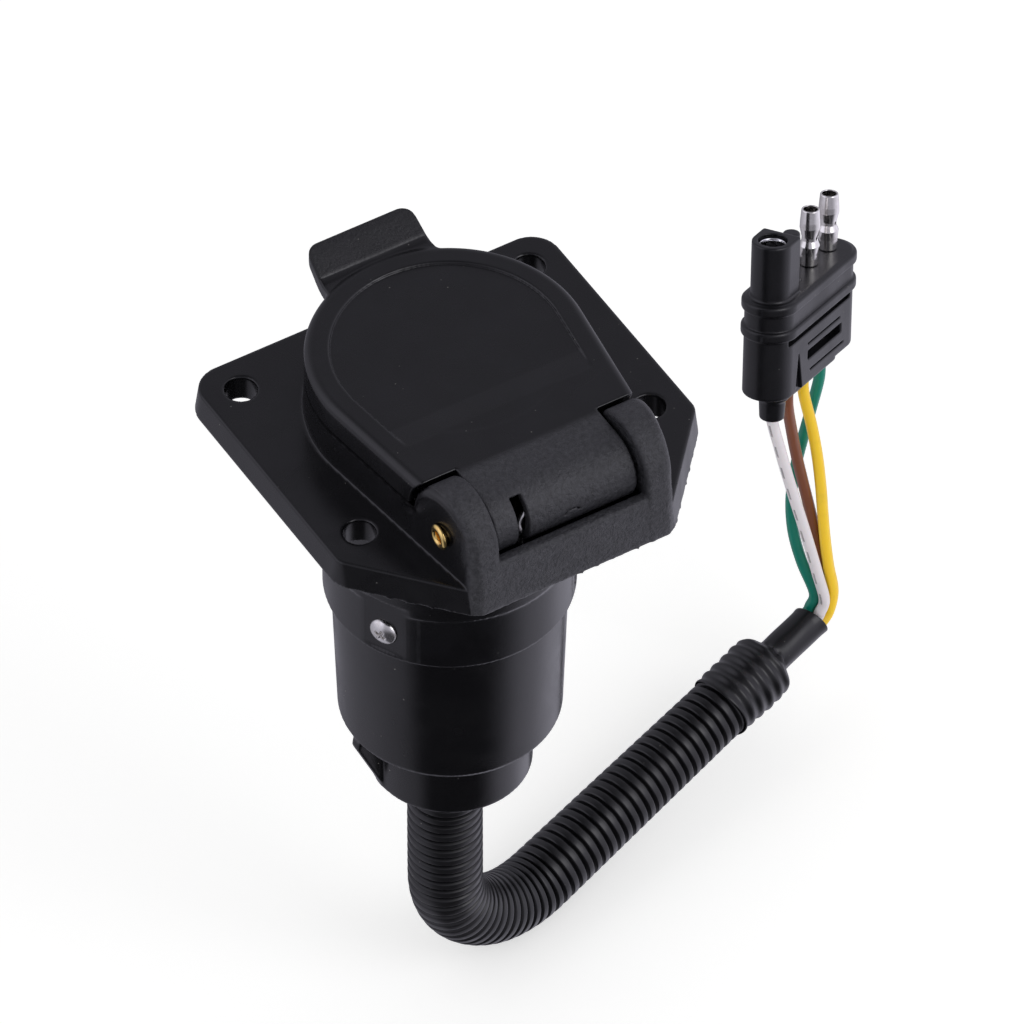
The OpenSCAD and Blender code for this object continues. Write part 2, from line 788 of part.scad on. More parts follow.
// Bullet pin: a rolled tube with a hollow tip and a waist
module bullet(i) {
    r = bullet_d / 2;
    foot = plug_h + 0.05;
    tip = plug_h + bullet_h;
    waist = foot + 6.6;
    color(nickel)
    on_plug_frame()
    translate([i * plug_pitch, 0, 0])
    rotate_extrude()
    polygon([
        [0, 12.2], [1.55, 12.2], [1.55, foot], [r, foot], [r, waist - 1],
        [r - 0.45, waist - 0.4], [r - 0.45, waist + 0.4], [r, waist + 1], [r, tip - 2.2],
        [r - 0.4, tip - 0.3], [r - 0.6, tip], [1.5, tip], [1.5, tip - 8], [0, tip - 8]]);
}

module plug_pin_yellow() { bullet(0.5); }
module plug_pin_green() { bullet(1.5); }

// Pin of the brown circuit, inside its moulded post
module plug_pin_brown() {
    color(nickel)
    on_plug_frame()
    translate([-0.5 * plug_pitch, 0, 12.2])
        cylinder(h = plug_h + bullet_h - post_drop - 12.2 - 0.6, r = 1.05);
}

// Rolled socket for the mating ground pin
module plug_ground_terminal() {
    color(nickel)
    on_plug_frame()
    translate([-1.5 * plug_pitch, 0, 12.2])
    difference() {
        cylinder(h = plug_h + bullet_h - ring_drop - 12.2, r = 3.15);
        translate([0, 0, 6]) cylinder(h = 50, r = 2.6);
    }
}

socket_housing();
lid();
lid_seal();
hinge_pin();
torsion_spring();
contact_carrier();
blade(ground_at);  // contact_ground
blade(brake_at);  // contact_brake
blade(tail_lamp_at);  // contact_tail_lamp
blade(battery_at);  // contact_battery
blade(left_turn_at);  // contact_left_turn
blade(right_turn_at);  // contact_right_turn
centre_pin();
terminal_screws();
cover_screws();
rear_cover();
cable_grommet();
loom();
heat_shrink();
wire_white();
wire_brown();
wire_yellow();
wire_green();
plug_body();
plug_pin_brown();
plug_pin_yellow();
plug_pin_green();
plug_ground_terminal();
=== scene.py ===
"""A seven-way blade trailer socket with a flip lid, its loom, and a four-way flat plug.

Shapes are worked out in millimetres, in the frame of the CAD model, and scaled when a mesh is made.
Moulded parts are signed distance fields, which give their edges real radii and fillets.
"""

import json
import math

import bpy
import numpy as np
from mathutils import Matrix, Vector

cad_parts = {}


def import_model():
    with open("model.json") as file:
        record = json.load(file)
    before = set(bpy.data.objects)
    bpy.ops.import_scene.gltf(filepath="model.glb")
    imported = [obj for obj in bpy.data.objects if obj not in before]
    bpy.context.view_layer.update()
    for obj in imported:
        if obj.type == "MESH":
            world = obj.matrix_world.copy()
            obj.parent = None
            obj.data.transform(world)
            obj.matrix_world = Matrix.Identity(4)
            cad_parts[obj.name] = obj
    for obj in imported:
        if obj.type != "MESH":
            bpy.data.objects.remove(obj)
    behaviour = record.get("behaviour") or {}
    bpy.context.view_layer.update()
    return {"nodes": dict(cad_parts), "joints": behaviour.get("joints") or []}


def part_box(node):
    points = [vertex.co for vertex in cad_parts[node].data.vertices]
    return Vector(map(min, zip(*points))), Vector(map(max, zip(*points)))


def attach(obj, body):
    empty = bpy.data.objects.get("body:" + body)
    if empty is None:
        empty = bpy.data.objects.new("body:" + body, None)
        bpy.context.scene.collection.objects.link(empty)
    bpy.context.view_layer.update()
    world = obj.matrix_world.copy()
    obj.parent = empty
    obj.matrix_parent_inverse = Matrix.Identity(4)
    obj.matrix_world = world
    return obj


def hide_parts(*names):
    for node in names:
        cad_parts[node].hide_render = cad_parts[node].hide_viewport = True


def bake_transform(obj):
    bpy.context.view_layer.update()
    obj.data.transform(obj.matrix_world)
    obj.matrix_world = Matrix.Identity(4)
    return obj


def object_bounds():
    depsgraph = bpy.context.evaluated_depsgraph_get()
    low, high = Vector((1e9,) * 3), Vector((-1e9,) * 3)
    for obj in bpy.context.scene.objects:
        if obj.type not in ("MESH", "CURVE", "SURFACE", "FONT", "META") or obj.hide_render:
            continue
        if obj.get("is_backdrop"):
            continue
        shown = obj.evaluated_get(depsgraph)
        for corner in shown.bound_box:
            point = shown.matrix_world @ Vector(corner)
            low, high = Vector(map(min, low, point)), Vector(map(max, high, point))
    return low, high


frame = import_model()

MM = 0.001
COARSE = 1.0


def node_box(node):
    """A CAD node's lowest and highest corner, in millimetres."""
    low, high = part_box(node)
    return np.array(low) / MM, np.array(high) / MM


# ---- Signed distances --------------------------------------------------------

def join(a, b, r=0.0):
    """Both shapes; r is the fillet where they meet."""
    if r <= 0:
        return np.minimum(a, b)
    return np.maximum(r, np.minimum(a, b)) - np.hypot(np.maximum(r - a, 0), np.maximum(r - b, 0))


def meet(a, b, r=0.0):
    """What both shapes share; r rounds the edge where they meet."""
    if r <= 0:
        return np.maximum(a, b)
    return np.minimum(-r, np.maximum(a, b)) + np.hypot(np.maximum(r + a, 0), np.maximum(r + b, 0))


def minus(a, b, r=0.0):
    return meet(a, -b, r)


def slab(v, low, high):
    return np.abs(v - (low + high) / 2) - (high - low) / 2


def rect(u, v, half_u, half_v, r=0.0):
    """A rectangle with round corners."""
    a, b = np.abs(u) - half_u + r, np.abs(v) - half_v + r
    return np.hypot(np.maximum(a, 0), np.maximum(b, 0)) + np.minimum(np.maximum(a, b), 0) - r


def disc(u, v, r):
    return np.hypot(u, v) - r


def segment(u, v, a, b):
    """Distance to the line between two points."""
    pu, pv = u - a[0], v - a[1]
    du, dv = b[0] - a[0], b[1] - a[1]
    t = np.clip((pu * du + pv * dv) / (du * du + dv * dv), 0, 1)
    return np.hypot(pu - du * t, pv - dv * t)


def polygon(u, v, points):
    """Signed distance of a flat outline."""
    away = None
    inside = None
    for a, b in zip(points, points[1:] + points[:1]):
        d = segment(u, v, a, b)
        away = d if away is None else np.minimum(away, d)
        rises = (a[1] > v) != (b[1] > v)
        at = a[0] + (v - a[1]) * (b[0] - a[0]) / ((b[1] - a[1]) or 1e-9)
        crossed = rises & (u < at)
        inside = crossed if inside is None else inside ^ crossed
    return np.where(inside, -away, away)


class Field:
    """A block of space that shapes are added to and cut from."""

    def __init__(self, low, high, step):
        self.step = step * COARSE
        self.low = np.array(low, float) - 2.3 * self.step
        count = np.ceil((np.array(high, float) - self.low) / self.step).astype(int) + 3
        self.value = np.full(count, 1e3, np.float32)

    def window(self, low, high):
        first = np.floor((low - self.low) / self.step).astype(int)
        last = np.ceil((high - self.low) / self.step).astype(int) + 1
        first = np.maximum(first, 0)
        last = np.minimum(last, self.value.shape)
        axes = []
        for i in range(3):
            line = self.low[i] + self.step * np.arange(first[i], last[i])
            shape = [1, 1, 1]
            shape[i] = -1
            axes.append(line.astype(np.float32).reshape(shape))
        return tuple(slice(a, b) for a, b in zip(first, last)), axes

    def change(self, how, shape, low, high, r, margin):
        """Works on the whole block, or to save time only between two corners."""
        place, axes = self.window(np.array(low, float) - margin, np.array(high, float) + margin)
        self.value[place] = how(self.value[place], shape(*axes), r)

    def add(self, shape, low=-1e3, high=1e3, r=0.0, margin=3.0):
        self.change(join, shape, low, high, r, margin)

    def cut(self, shape, low=-1e3, high=1e3, r=0.0, margin=3.0):
        self.change(minus, shape, low, high, r, margin)

    def sample(self, points):
        """Value and slope at points given in grid units."""
        base = np.clip(np.floor(points).astype(int), 0, np.array(self.value.shape) - 2)
        t = points - base
        value = np.zeros(len(points))
        slope = np.zeros((len(points), 3))
        for corner in CORNERS:
            at = self.value[tuple((base + corner).T)]
            part = [t[:, i] if corner[i] else 1 - t[:, i] for i in range(3)]
            value += at * part[0] * part[1] * part[2]
            for i in range(3):
                j, k = (i + 1) % 3, (i + 2) % 3
                slope[:, i] += (at if corner[i] else -at) * part[j] * part[k]
        return value, slope

    def surface(self):
        """The zero surface as points in millimetres and quads (surface nets)."""
        inside = self.value < 0
        ends = (np.s_[:-1], np.s_[1:])
        count = sum(inside[ends[i], ends[j], ends[k]].astype(np.uint8) for i, j, k in CORNERS)
        cells = np.argwhere((count > 0) & (count < 8))
        number = np.full(count.shape, -1, np.int64)
        number[tuple(cells.T)] = np.arange(len(cells))
        total = np.zeros((len(cells), 3))
        hits = np.zeros(len(cells))
        for corner in CORNERS:
            for axis in range(3):
                if corner[axis]:
                    continue
                other = list(corner)
                other[axis] = 1
                a = self.value[tuple((cells + corner).T)]
                b = self.value[tuple((cells + other).T)]
                crosses = (a < 0) != (b < 0)
                point = np.tile(np.array(corner, float), (len(cells), 1))
                point[:, axis] = np.where(crosses, a / np.where(crosses, a - b, 1), 0)
                total[crosses] += point[crosses]
                hits[crosses] += 1
        points = cells + total / hits[:, None]
        for _ in range(2):
            value, slope = self.sample(points)
            steep = np.maximum((slope ** 2).sum(1), 0.05 * self.step ** 2)
            points -= np.clip((value / steep)[:, None] * slope, -0.4, 0.4)
        quads = []
        for axis in range(3):
            u, v = (axis + 1) % 3, (axis + 2) % 3
            near, far = [np.s_[1:-1]] * 3, [np.s_[1:-1]] * 3
            near[axis], far[axis] = np.s_[:-1], np.s_[1:]
            a, b = inside[tuple(near)], inside[tuple(far)]
            offset = np.ones(3, int)
            offset[axis] = 0
            eu, ev = np.eye(3, dtype=int)[u], np.eye(3, dtype=int)[v]
            for seen, order in ((a & ~b, 1), (b & ~a, -1)):
                at = np.argwhere(seen) + offset
                around = [at - eu - ev, at - ev, at, at - eu][::order]
                quads.append(np.stack([number[tuple(c.T)] for c in around], 1))
        return self.low + self.step * points, np.concatenate(quads)


CORNERS = [(i, j, k) for i in (0, 1) for j in (0, 1) for k in (0, 1)]


# ---- Meshes ------------------------------------------------------------------

def rotation(x=0.0, y=0.0, z=0.0):
    """The matrix of a turn about X, then Y, then Z, in degrees."""
    total = np.eye(3)
    for axis, angle in enumerate((x, y, z)):
        c, s = math.cos(math.radians(angle)), math.sin(math.radians(angle))
        u, v = (axis + 1) % 3, (axis + 2) % 3
        turn = np.eye(3)
        turn[u, u] = turn[v, v] = c
        turn[u, v], turn[v, u] = -s, s
        total = turn @ total
    return total


def piece(name, shape, material, node, body="socket", turn=None, origin=(0, 0, 0)):
    """Makes an object from (points, faces) that rides on a CAD body and stands for a CAD node."""
    points = np.array(shape[0], float)
    if turn is not None:
        points = points @ turn.T
    points = (points + np.array(origin, float)) * MM
    mesh = bpy.data.meshes.new(name)
    mesh.from_pydata(points.tolist(), [], [list(map(int, f)) for f in shape[1]])
    mesh.polygons.foreach_set("use_smooth", [True] * len(mesh.polygons))
    mesh.update()
    obj = bpy.data.objects.new(name, mesh)
    bpy.context.collection.objects.link(obj)
    mesh.materials.append(material)
    if body:
        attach(obj, body)
    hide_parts(node)
    return obj


def merge(*shapes):
    """Several (points, faces) as one."""
    points, faces, start = [], [], 0
    for p, f in shapes:
        points.extend(np.array(p, float).tolist())
        faces.extend([[i + start for i in face] for face in f])
        start += len(p)
    return points, faces


def soften(points, radius, closed=True, steps=3):
    """Rounds the corners of an outline."""
    points = [np.array(p, float) for p in points]
    out = []
    for i, p in enumerate(points):
        if not closed and i in (0, len(points) - 1):
            out.append(p)
            continue
        before, after = points[i - 1] - p, points[(i + 1) % len(points)] - p
        reach = min(radius, 0.48 * np.linalg.norm(before), 0.48 * np.linalg.norm(after))
        a = p + before / np.linalg.norm(before) * reach
        b = p + after / np.linalg.norm(after) * reach
        for k in range(steps + 1):
            t = k / steps
            out.append((1 - t) ** 2 * a + 2 * t * (1 - t) * p + t ** 2 * b)
    return out


def lathe(profile, sides=96, closed=False):
    """Turns (radius, height) points round Z. The line runs anticlockwise seen with the axis on its left."""
    points, faces, rings = [], [], []
    for r, z in profile:
        count = 1 if r < 1e-6 else sides
        rings.append([len(points) + k for k in range(count)])
        for k in range(count):
            a = 2 * math.pi * k / sides
            points.append((r * math.cos(a), r * math.sin(a), z))
    pairs = list(zip(rings, rings[1:]))
    if closed:
        pairs.append((rings[-1], rings[0]))
    for a, b in pairs:
        for k in range(sides):
            corners = [a[k % len(a)], a[(k + 1) % len(a)], b[(k + 1) % len(b)], b[k % len(b)]]
            face = list(dict.fromkeys(corners))
            if len(face) > 2:
                faces.append(face)
    return points, faces


def spokes(path, angle):
    """Unit vectors square to a path that don't twist, one for each point and each angle round it."""
    tangent = np.gradient(path, axis=0)
    tangent /= np.linalg.norm(tangent, axis=1)[:, None]
    normal = np.cross(tangent[0], (0.0, 0.0, 1.0))
    if np.linalg.norm(normal) < 0.1:
        normal = np.array((0.0, 1.0, 0.0))
    out = []
    for t in tangent:
        normal = normal - (normal @ t) * t
        normal /= np.linalg.norm(normal)
        out.append(np.cos(angle)[:, None] * normal + np.sin(angle)[:, None] * np.cross(t, normal))
    return np.array(out)


def resample(path, step):
    """The same line with points a fixed distance apart."""
    path = np.array(path, float)
    along = np.concatenate([[0], np.cumsum(np.linalg.norm(np.diff(path, axis=0), axis=1))])
    at = np.linspace(0, along[-1], max(2, int(round(along[-1] / step)) + 1))
    return np.stack([np.interp(at, along, path[:, i]) for i in range(3)], 1), at


def skin(rings, loop=False):
    """Joins rings of equal size into a surface, which either closes on itself or has caps."""
    rings = np.array(rings, float)
    m, n = rings.shape[:2]
    faces = []
    for i in range(m if loop else m - 1):
        a, b = i * n, (i + 1) % m * n
        for k in range(n):
            j = (k + 1) % n
            faces.append([a + k, a + j, b + j, b + k])
    if not loop:
        faces.append(list(range(n))[::-1])
        faces.append(list(range((m - 1) * n, m * n)))
    return rings.reshape(-1, 3), faces


ROUND = np.linspace(0, 2 * np.pi, 28, endpoint=False)


def sweep(path, radius):
    """A bar along a path. radius is one number, or one for each point and each angle of ROUND."""
    return skin(path[:, None] + np.asarray(radius)[..., None] * spokes(path, ROUND))


def spline(points, steps):
    """A smooth line through every point."""
    points = [np.array(p, float) for p in points]
    out = []
    last = len(points) - 1
    for i in range(last):
        a, b = points[max(i - 1, 0)], points[i]
        c, d = points[i + 1], points[min(i + 2, last)]
        for k in range(steps):
            t = k / steps
            out.append(0.5 * (2 * b + (c - a) * t + (2 * a - 5 * b + 4 * c - d) * t * t
                              + (3 * b - a - 3 * c + d) * t ** 3))
    out.append(points[-1])
    return np.array(out)


def mix(a, b, t):
    return a + (b - a) * t


def ease(t):
    t = np.clip(t, 0, 1)
    return t * t * (3 - 2 * t)


# ---- Materials -----------------------------------------------------------------

class Graph:
    """Adds nodes to a node tree. Each value is a constant or another node's output."""

    def __init__(self, tree):
        self.tree = tree

    def add(self, kind, values=(), **settings):
        node = self.tree.nodes.new(kind)
        for key, value in settings.items():
            setattr(node, key, value)
        items = values.items() if isinstance(values, dict) else enumerate(values)
        for key, value in items:
            self.feed(node.inputs[key], value)
        return node

    def feed(self, socket, value):
        if isinstance(value, bpy.types.NodeSocket):
            self.tree.links.new(value, socket)
        elif value is not None:
            socket.default_value = value

    def calc(self, what, *values):
        return self.add("ShaderNodeMath", values, operation=what).outputs[0]

    def times(self, a, b):
        return self.calc("MULTIPLY", a, b)

    def plus(self, a, b):
        return self.calc("ADD", a, b)

    def off(self, a, b):
        """How far a lies from b."""
        return self.calc("ABSOLUTE", self.calc("SUBTRACT", a, b))

    def band(self, value, low, high, a=0.0, b=1.0):
        """Goes smoothly from a to b as value goes from low to high."""
        return self.add("ShaderNodeMapRange", (value, low, high, a, b),
                        interpolation_type="SMOOTHSTEP", clamp=True).outputs[0]

    def mix(self, share, a, b, **settings):
        return self.add("ShaderNodeMix", {0: share, 6: a, 7: b}, data_type="RGBA", **settings).outputs[2]


class Shader(Graph):
    """One procedural material. Its textures are laid out in millimetres of the part's frame."""

    def __init__(self, name, **values):
        self.material = bpy.data.materials.new(name)
        self.material.use_nodes = True
        super().__init__(self.material.node_tree)
        self.bsdf = self.tree.nodes["Principled BSDF"]
        self.set(**values)
        place = self.add("ShaderNodeTexCoord").outputs["Object"]
        self.at = self.add("ShaderNodeVectorMath", (place, (1 / MM,) * 3), operation="MULTIPLY").outputs[0]
        self.x, self.y, self.z = self.add("ShaderNodeSeparateXYZ", (self.at,)).outputs
        self.point = self.add("ShaderNodeNewGeometry").outputs["Pointiness"]
        self.bumps = None

    def set(self, **values):
        for key, value in values.items():
            self.feed(self.bsdf.inputs[key.replace("_", " ")], value)

    def noise(self, size, detail=2.0, rough=0.5, at=None, warp=0.0):
        """Noise with features about size millimetres across."""
        values = {"Vector": at or self.at, "Scale": 1 / size, "Detail": detail, "Roughness": rough,
                  "Distortion": warp}
        return self.add("ShaderNodeTexNoise", values).outputs[0]

    def cells(self, size):
        return self.add("ShaderNodeTexVoronoi", {"Vector": self.at, "Scale": 1 / size}).outputs["Distance"]

    def bump(self, height, depth):
        """Adds relief: height 0 to 1 times depth millimetres."""
        values = {"Height": height, "Distance": depth * MM, "Strength": 1.0}
        if self.bumps:
            values["Normal"] = self.bumps
        self.bumps = self.add("ShaderNodeBump", values).outputs[0]
        self.set(Normal=self.bumps)


def rgb(r, g, b):
    """A colour given as it looks, 0 to 255, made linear."""
    return tuple(((v / 255 + 0.055) / 1.055) ** 2.4 if v > 10 else v / 255 / 12.92 for v in (r, g, b)) + (1.0,)


def scaled(colour, factor, lift=0.0):
    """A colour made lighter or darker."""
    return tuple(min(1, v * factor + lift) for v in colour[:3]) + (1,)


def plastic(name, dark, light, rough, grain=0.012, size=0.5, dust=0.35, wear=0.35, wave=0.03,
            coarse=None, polished=None, pale=None, gap_shade=None):
    """Moulded plastic: mottled, faintly wavy, grained, with dust and rubbed edges. The last four give
    0 to 1 masks: coarse for a spark-eroded grain, polished for a glossier finish, pale for a greyer
    eroded skin that is also lightened as painted sheen, and gap_shade for painted shade in a parting gap."""
    s = Shader(name, IOR=1.5)
    colour = s.mix(s.band(s.noise(9, 4, 0.6), 0.35, 0.7), dark, light)
    edge = s.times(s.band(s.point, 0.54, 0.66), s.band(s.noise(3.5, 3), 0.42, 0.68, 0.2, 1))
    colour = s.mix(s.times(edge, wear), colour, scaled(light, 6, 0.012))
    speck = s.times(s.band(s.cells(2.6), 0.085, 0.03), s.band(s.noise(14, 2), 0.5, 0.62))
    colour = s.mix(s.times(speck, dust), colour, rgb(150, 148, 145))
    smear = s.band(s.noise(22, 3, 0.6, warp=1.5), 0.4, 0.7)
    amount = s.plus(s.plus(s.times(smear, 0.10), rough - 0.04), s.times(speck, 0.3))
    s.bump(s.noise(11, 1.5), wave)
    if polished:
        amount = s.plus(amount, s.times(polished(s), -0.07))
    if coarse:
        mask = coarse(s)
        amount = s.plus(amount, s.times(mask, 0.13))
        s.bump(s.times(mask, s.noise(0.8, 4, 0.7)), 0.42)
    if pale:
        # a greyer eroded skin, partly painted sheen that lightens these faces as light would
        worn_and_sheen = s.times(pale(s), s.band(s.noise(1.1, 3, 0.6), 0.3, 0.7, 0.45, 0.9))
        colour = s.mix(worn_and_sheen, colour, rgb(56, 56, 61))
    if gap_shade:
        # painted shade: the parting gap is coloured near black and loses most of its reflection
        line = gap_shade(s)
        colour = s.mix(line, colour, rgb(3, 3, 4))
        s.set(Specular_IOR_Level=s.plus(s.times(line, -0.45), 0.5))
    s.bump(s.noise(size, 3, 0.6), grain)
    s.set(Base_Color=colour, Roughness=amount)
    return s.material


def metal(name, colour, stain, rough, scratch=0.006, hidden_shade=None):
    """Plated or bare metal with stains, bright edges and darker hollows; hidden_shade(shader) masks where
    painted shade darkens it.
    """
    s = Shader(name, Metallic=1.0)
    mottle = s.band(s.noise(2.2, 4, 0.6), 0.42, 0.72)
    shade = s.mix(s.times(mottle, 0.55), colour, stain)
    shade = s.mix(s.times(s.band(s.point, 0.52, 0.6), 0.4), shade, scaled(colour, 1.25))
    shade = s.mix(s.band(s.point, 0.47, 0.40, 0, 0.55), shade, scaled(stain, 0.3))
    if hidden_shade:
        # painted shade on the metal where the ears and the lid hide it
        shade = s.mix(hidden_shade(s), shade, rgb(52, 46, 40))
    s.set(Base_Color=shade, Roughness=s.plus(s.times(mottle, 0.14), rough))
    along = s.add("ShaderNodeVectorMath", (s.at, (3, 3, 0.4)), operation="MULTIPLY").outputs[0]
    s.bump(s.noise(0.9, 3, 0.6, at=along), scratch)
    s.bump(s.noise(0.35, 2), scratch * 0.6)
    return s.material


def rubber_shader(name, tone, rough):
    """Rubber with a pale bloom."""
    s = Shader(name, IOR=1.5)
    bloom = s.band(s.noise(6, 4, 0.65), 0.45, 0.75)
    s.set(Base_Color=s.mix(bloom, tone, scaled(tone, 1.9, 0.002)))
    s.set(Roughness=s.plus(s.times(bloom, 0.12), rough))
    s.bump(s.noise(0.4, 3, 0.6), 0.012)
    return s.material


def insulation(name, colour, dashes=None):
    """Extruded wire insulation: faint draw lines along the wire, handling grime, optional dashes given
    as (pitch, half length, place round the wire, half width, ink)."""
    s = Shader(name, IOR=1.48, Subsurface_Weight=0.06, Subsurface_Scale=0.0008)
    along, around = (s.add("ShaderNodeAttribute", attribute_name=a).outputs["Fac"] for a in ("along", "around"))
    grime = s.band(s.noise(4.5, 4, 0.65), 0.5, 0.85)
    shade = s.mix(s.times(grime, 0.5), colour, scaled(colour, 0.8))
    if dashes:
        pitch, length, place, width, ink = dashes
        middle = s.off(s.calc("FRACT", s.calc("DIVIDE", along, pitch)), 0.5)
        mark = s.times(s.band(middle, length, length * 0.9), s.band(s.off(around, place), width, width * 0.75))
        shade = s.mix(s.times(mark, s.band(s.noise(0.5, 3), 0.3, 0.5, 0.55, 1)), shade, ink)
    lines = s.add("ShaderNodeCombineXYZ", (s.times(along, 0.03), s.times(around, 9), 0.0)).outputs[0]
    s.set(Base_Color=shade, Roughness=s.plus(s.times(grime, 0.2), 0.32))
    s.bump(s.noise(0.5, 2, at=lines), 0.01)
    s.bump(s.noise(1.4, 2), 0.015)
    return s.material


def on_hinge_wall(s):
    """The eroded faces round the hinge."""
    ears = s.times(s.band(s.y, -31.5, -33), s.band(s.z, 10.0, 16.0))
    side = s.band(s.calc("ABSOLUTE", s.x), 24.9, 24.4)
    return s.times(s.calc("MAXIMUM", ears, s.band(s.y, -47.0, -48.5)), side)


def under_flange(s):
    return s.band(s.z, 0.2, -0.6)


def at_hinge(s):
    """Where the lid turns down to its hinge."""
    return s.band(s.y, -31.5, -34)


def on_lid_grain(s):
    """Pebble grain on the tab's top, and erosion near the hinge."""
    tab = s.times(s.band(s.y, 30.6, 31.6), s.band(s.z, 21.5, 22.2))
    normal = s.add("ShaderNodeNewGeometry").outputs["Normal"]
    up = s.band(s.add("ShaderNodeSeparateXYZ", (normal,)).outputs[2], 0.35, 0.6)
    return s.calc("MAXIMUM", s.times(tab, up), s.times(at_hinge(s), 0.8))


def painted_gap_shade(s):
    """Where painted shade darkens the thin gap between the closed lid and the mouth."""
    return s.times(s.band(s.off(s.z, 15.6), 0.75, 0.4), s.band(s.y, -33, -31))


def inside_ears(s):
    """The stretch of the pin that the ears and the lid hide, darkened as painted shade."""
    return s.band(s.calc("ABSOLUTE", s.x), 23, 21)


housing_plastic = plastic("housing plastic", rgb(7, 7, 9), rgb(12, 12, 15), 0.27, wear=0.22,
                          coarse=on_hinge_wall, pale=on_hinge_wall, polished=under_flange, gap_shade=painted_gap_shade)
lid_plastic = plastic("lid plastic", rgb(8, 8, 10), rgb(13, 13, 16), 0.30, wear=0.15,
                      coarse=on_lid_grain, pale=at_hinge, gap_shade=painted_gap_shade)
cover_plastic = plastic("cover plastic", rgb(6, 6, 8), rgb(10, 10, 12), 0.22, dust=0.6, wear=0.22)
carrier_plastic = plastic("carrier plastic", rgb(22, 23, 26), rgb(34, 35, 38), 0.42, dust=0.2)
loom_plastic = plastic("loom plastic", rgb(11, 11, 13), rgb(17, 17, 20), 0.34, grain=0.01, dust=0.6)
pvc = plastic("plug PVC", rgb(8, 8, 11), rgb(14, 14, 18), 0.32, grain=0.02, dust=0.5, wear=0.4)
shrink = plastic("shrink sleeve", rgb(7, 7, 9), rgb(12, 12, 14), 0.34, grain=0.01, size=0.7, wave=0.12)
rubber = rubber_shader("rubber", rgb(18, 18, 19), 0.55)
gold_plate = metal("yellow zinc plate", (0.98, 0.72, 0.26, 1), (0.86, 0.48, 0.17, 1), 0.15, hidden_shade=inside_ears)
bright_steel = metal("spring steel", (0.78, 0.77, 0.76, 1), (0.55, 0.53, 0.51, 1), 0.2)
zinc = metal("bright zinc", (0.86, 0.85, 0.83, 1), (0.60, 0.57, 0.52, 1), 0.2)
brass = metal("contact brass", (0.80, 0.58, 0.27, 1), (0.52, 0.33, 0.15, 1), 0.22)
nickel = metal("nickel plate", (0.88, 0.86, 0.83, 1), (0.62, 0.58, 0.54, 1), 0.12)
chrome = metal("chrome plate", (0.88, 0.88, 0.89, 1), (0.7, 0.7, 0.69, 1), 0.07, scratch=0.003)
white_pvc = insulation("white insulation", rgb(226, 220, 225),
                       dashes=(7.5, 0.27, 0.18, 0.035, rgb(150, 146, 150)))
brown_pvc = insulation("brown insulation", rgb(124, 72, 48))
yellow_pvc = insulation("yellow insulation", rgb(252, 208, 40))
green_pvc = insulation("green insulation", rgb(10, 128, 110))


# ---- Sizes shared by several parts ------------------------------------------

housing_low, housing_high = node_box("socket_housing")
lid_low, lid_high = node_box("lid")
cover_low, cover_high = node_box("rear_cover")
joint = next(j for j in frame["joints"] if j["name"] == "lid_hinge")
HINGE_Y, HINGE_Z = joint["pos_m"][1] / MM, joint["pos_m"][2] / MM

FLANGE_T = 6.5
MOUTH_Z = HINGE_Z
BARREL_R = 27.0
MOUTH_R = 30.6
SIDE = math.radians(7.5)
EAR_IN = 17.8
EAR_R = 10.5
LID_Z = MOUTH_Z + 0.2
LID_TOP = LID_Z + 7.4
LID_R = 30.3
KNUCKLE = 17.1
KNUCKLE_R = LID_TOP - HINGE_Z
SCREW_Z = housing_low[2] + 6.8
SCREW_ANGLES = (87.5, 207.5, 327.5)
FLAT_R = BARREL_R - 0.5
WALL_OUT, WALL_TOP = HINGE_Y - EAR_R, FLANGE_T + 5.9
WALL_IN = WALL_OUT + 3
DRAFT = 0.9  # how far the flange spreads towards its back face
HOLES = [(x * 35.25, 1.6 + y * 24.3) for x in (-1, 1) for y in (-1, 1)]
PIN_HOLE_R = 2.1
CHAMFER = math.radians(41.63)  # of the flange's two front corners


def side_plane(x, y, r):
    """The straight side that runs from the round part towards the hinge, mirrored."""
    return np.abs(x) * math.cos(SIDE) - y * math.sin(SIDE) - r


def drop_shape(x, y, r, end):
    """Round on the tab side, straight sides that draw in towards the hinge."""
    wedge = meet(meet(side_plane(x, y, r), y + r * math.sin(SIDE)), end - y)
    return join(disc(x, y, r), wedge)


def round_hinge(y, z, r):
    """A rod along the hinge's axis."""
    return disc(y - HINGE_Y, z - HINGE_Z, r)


def hinge_block(half, r):
    """Corners of the block round the hinge's axis."""
    return (-half, HINGE_Y - r, HINGE_Z - r), (half, HINGE_Y + r, HINGE_Z + r)


def pin_hole(x, y, z):
    return round_hinge(y, z, PIN_HOLE_R)


def at_screw(angle, shape):
    """Turns shape(out, across, up), given from a screw on the X side, to the angle of one screw."""
    c, s = math.cos(math.radians(angle)), math.sin(math.radians(angle))
    return lambda x, y, z: shape(x * c + y * s, y * c - x * s, z - SCREW_Z)


def screw_block(angle, r, half, below, above):
    """Corners of the block round a screw, r away from the socket's axis."""
    x, y = r * math.cos(math.radians(angle)), r * math.sin(math.radians(angle))
    return (x - half, y - half, SCREW_Z - below), (x + half, y + half, SCREW_Z + above)


# ---- Housing -----------------------------------------------------------------

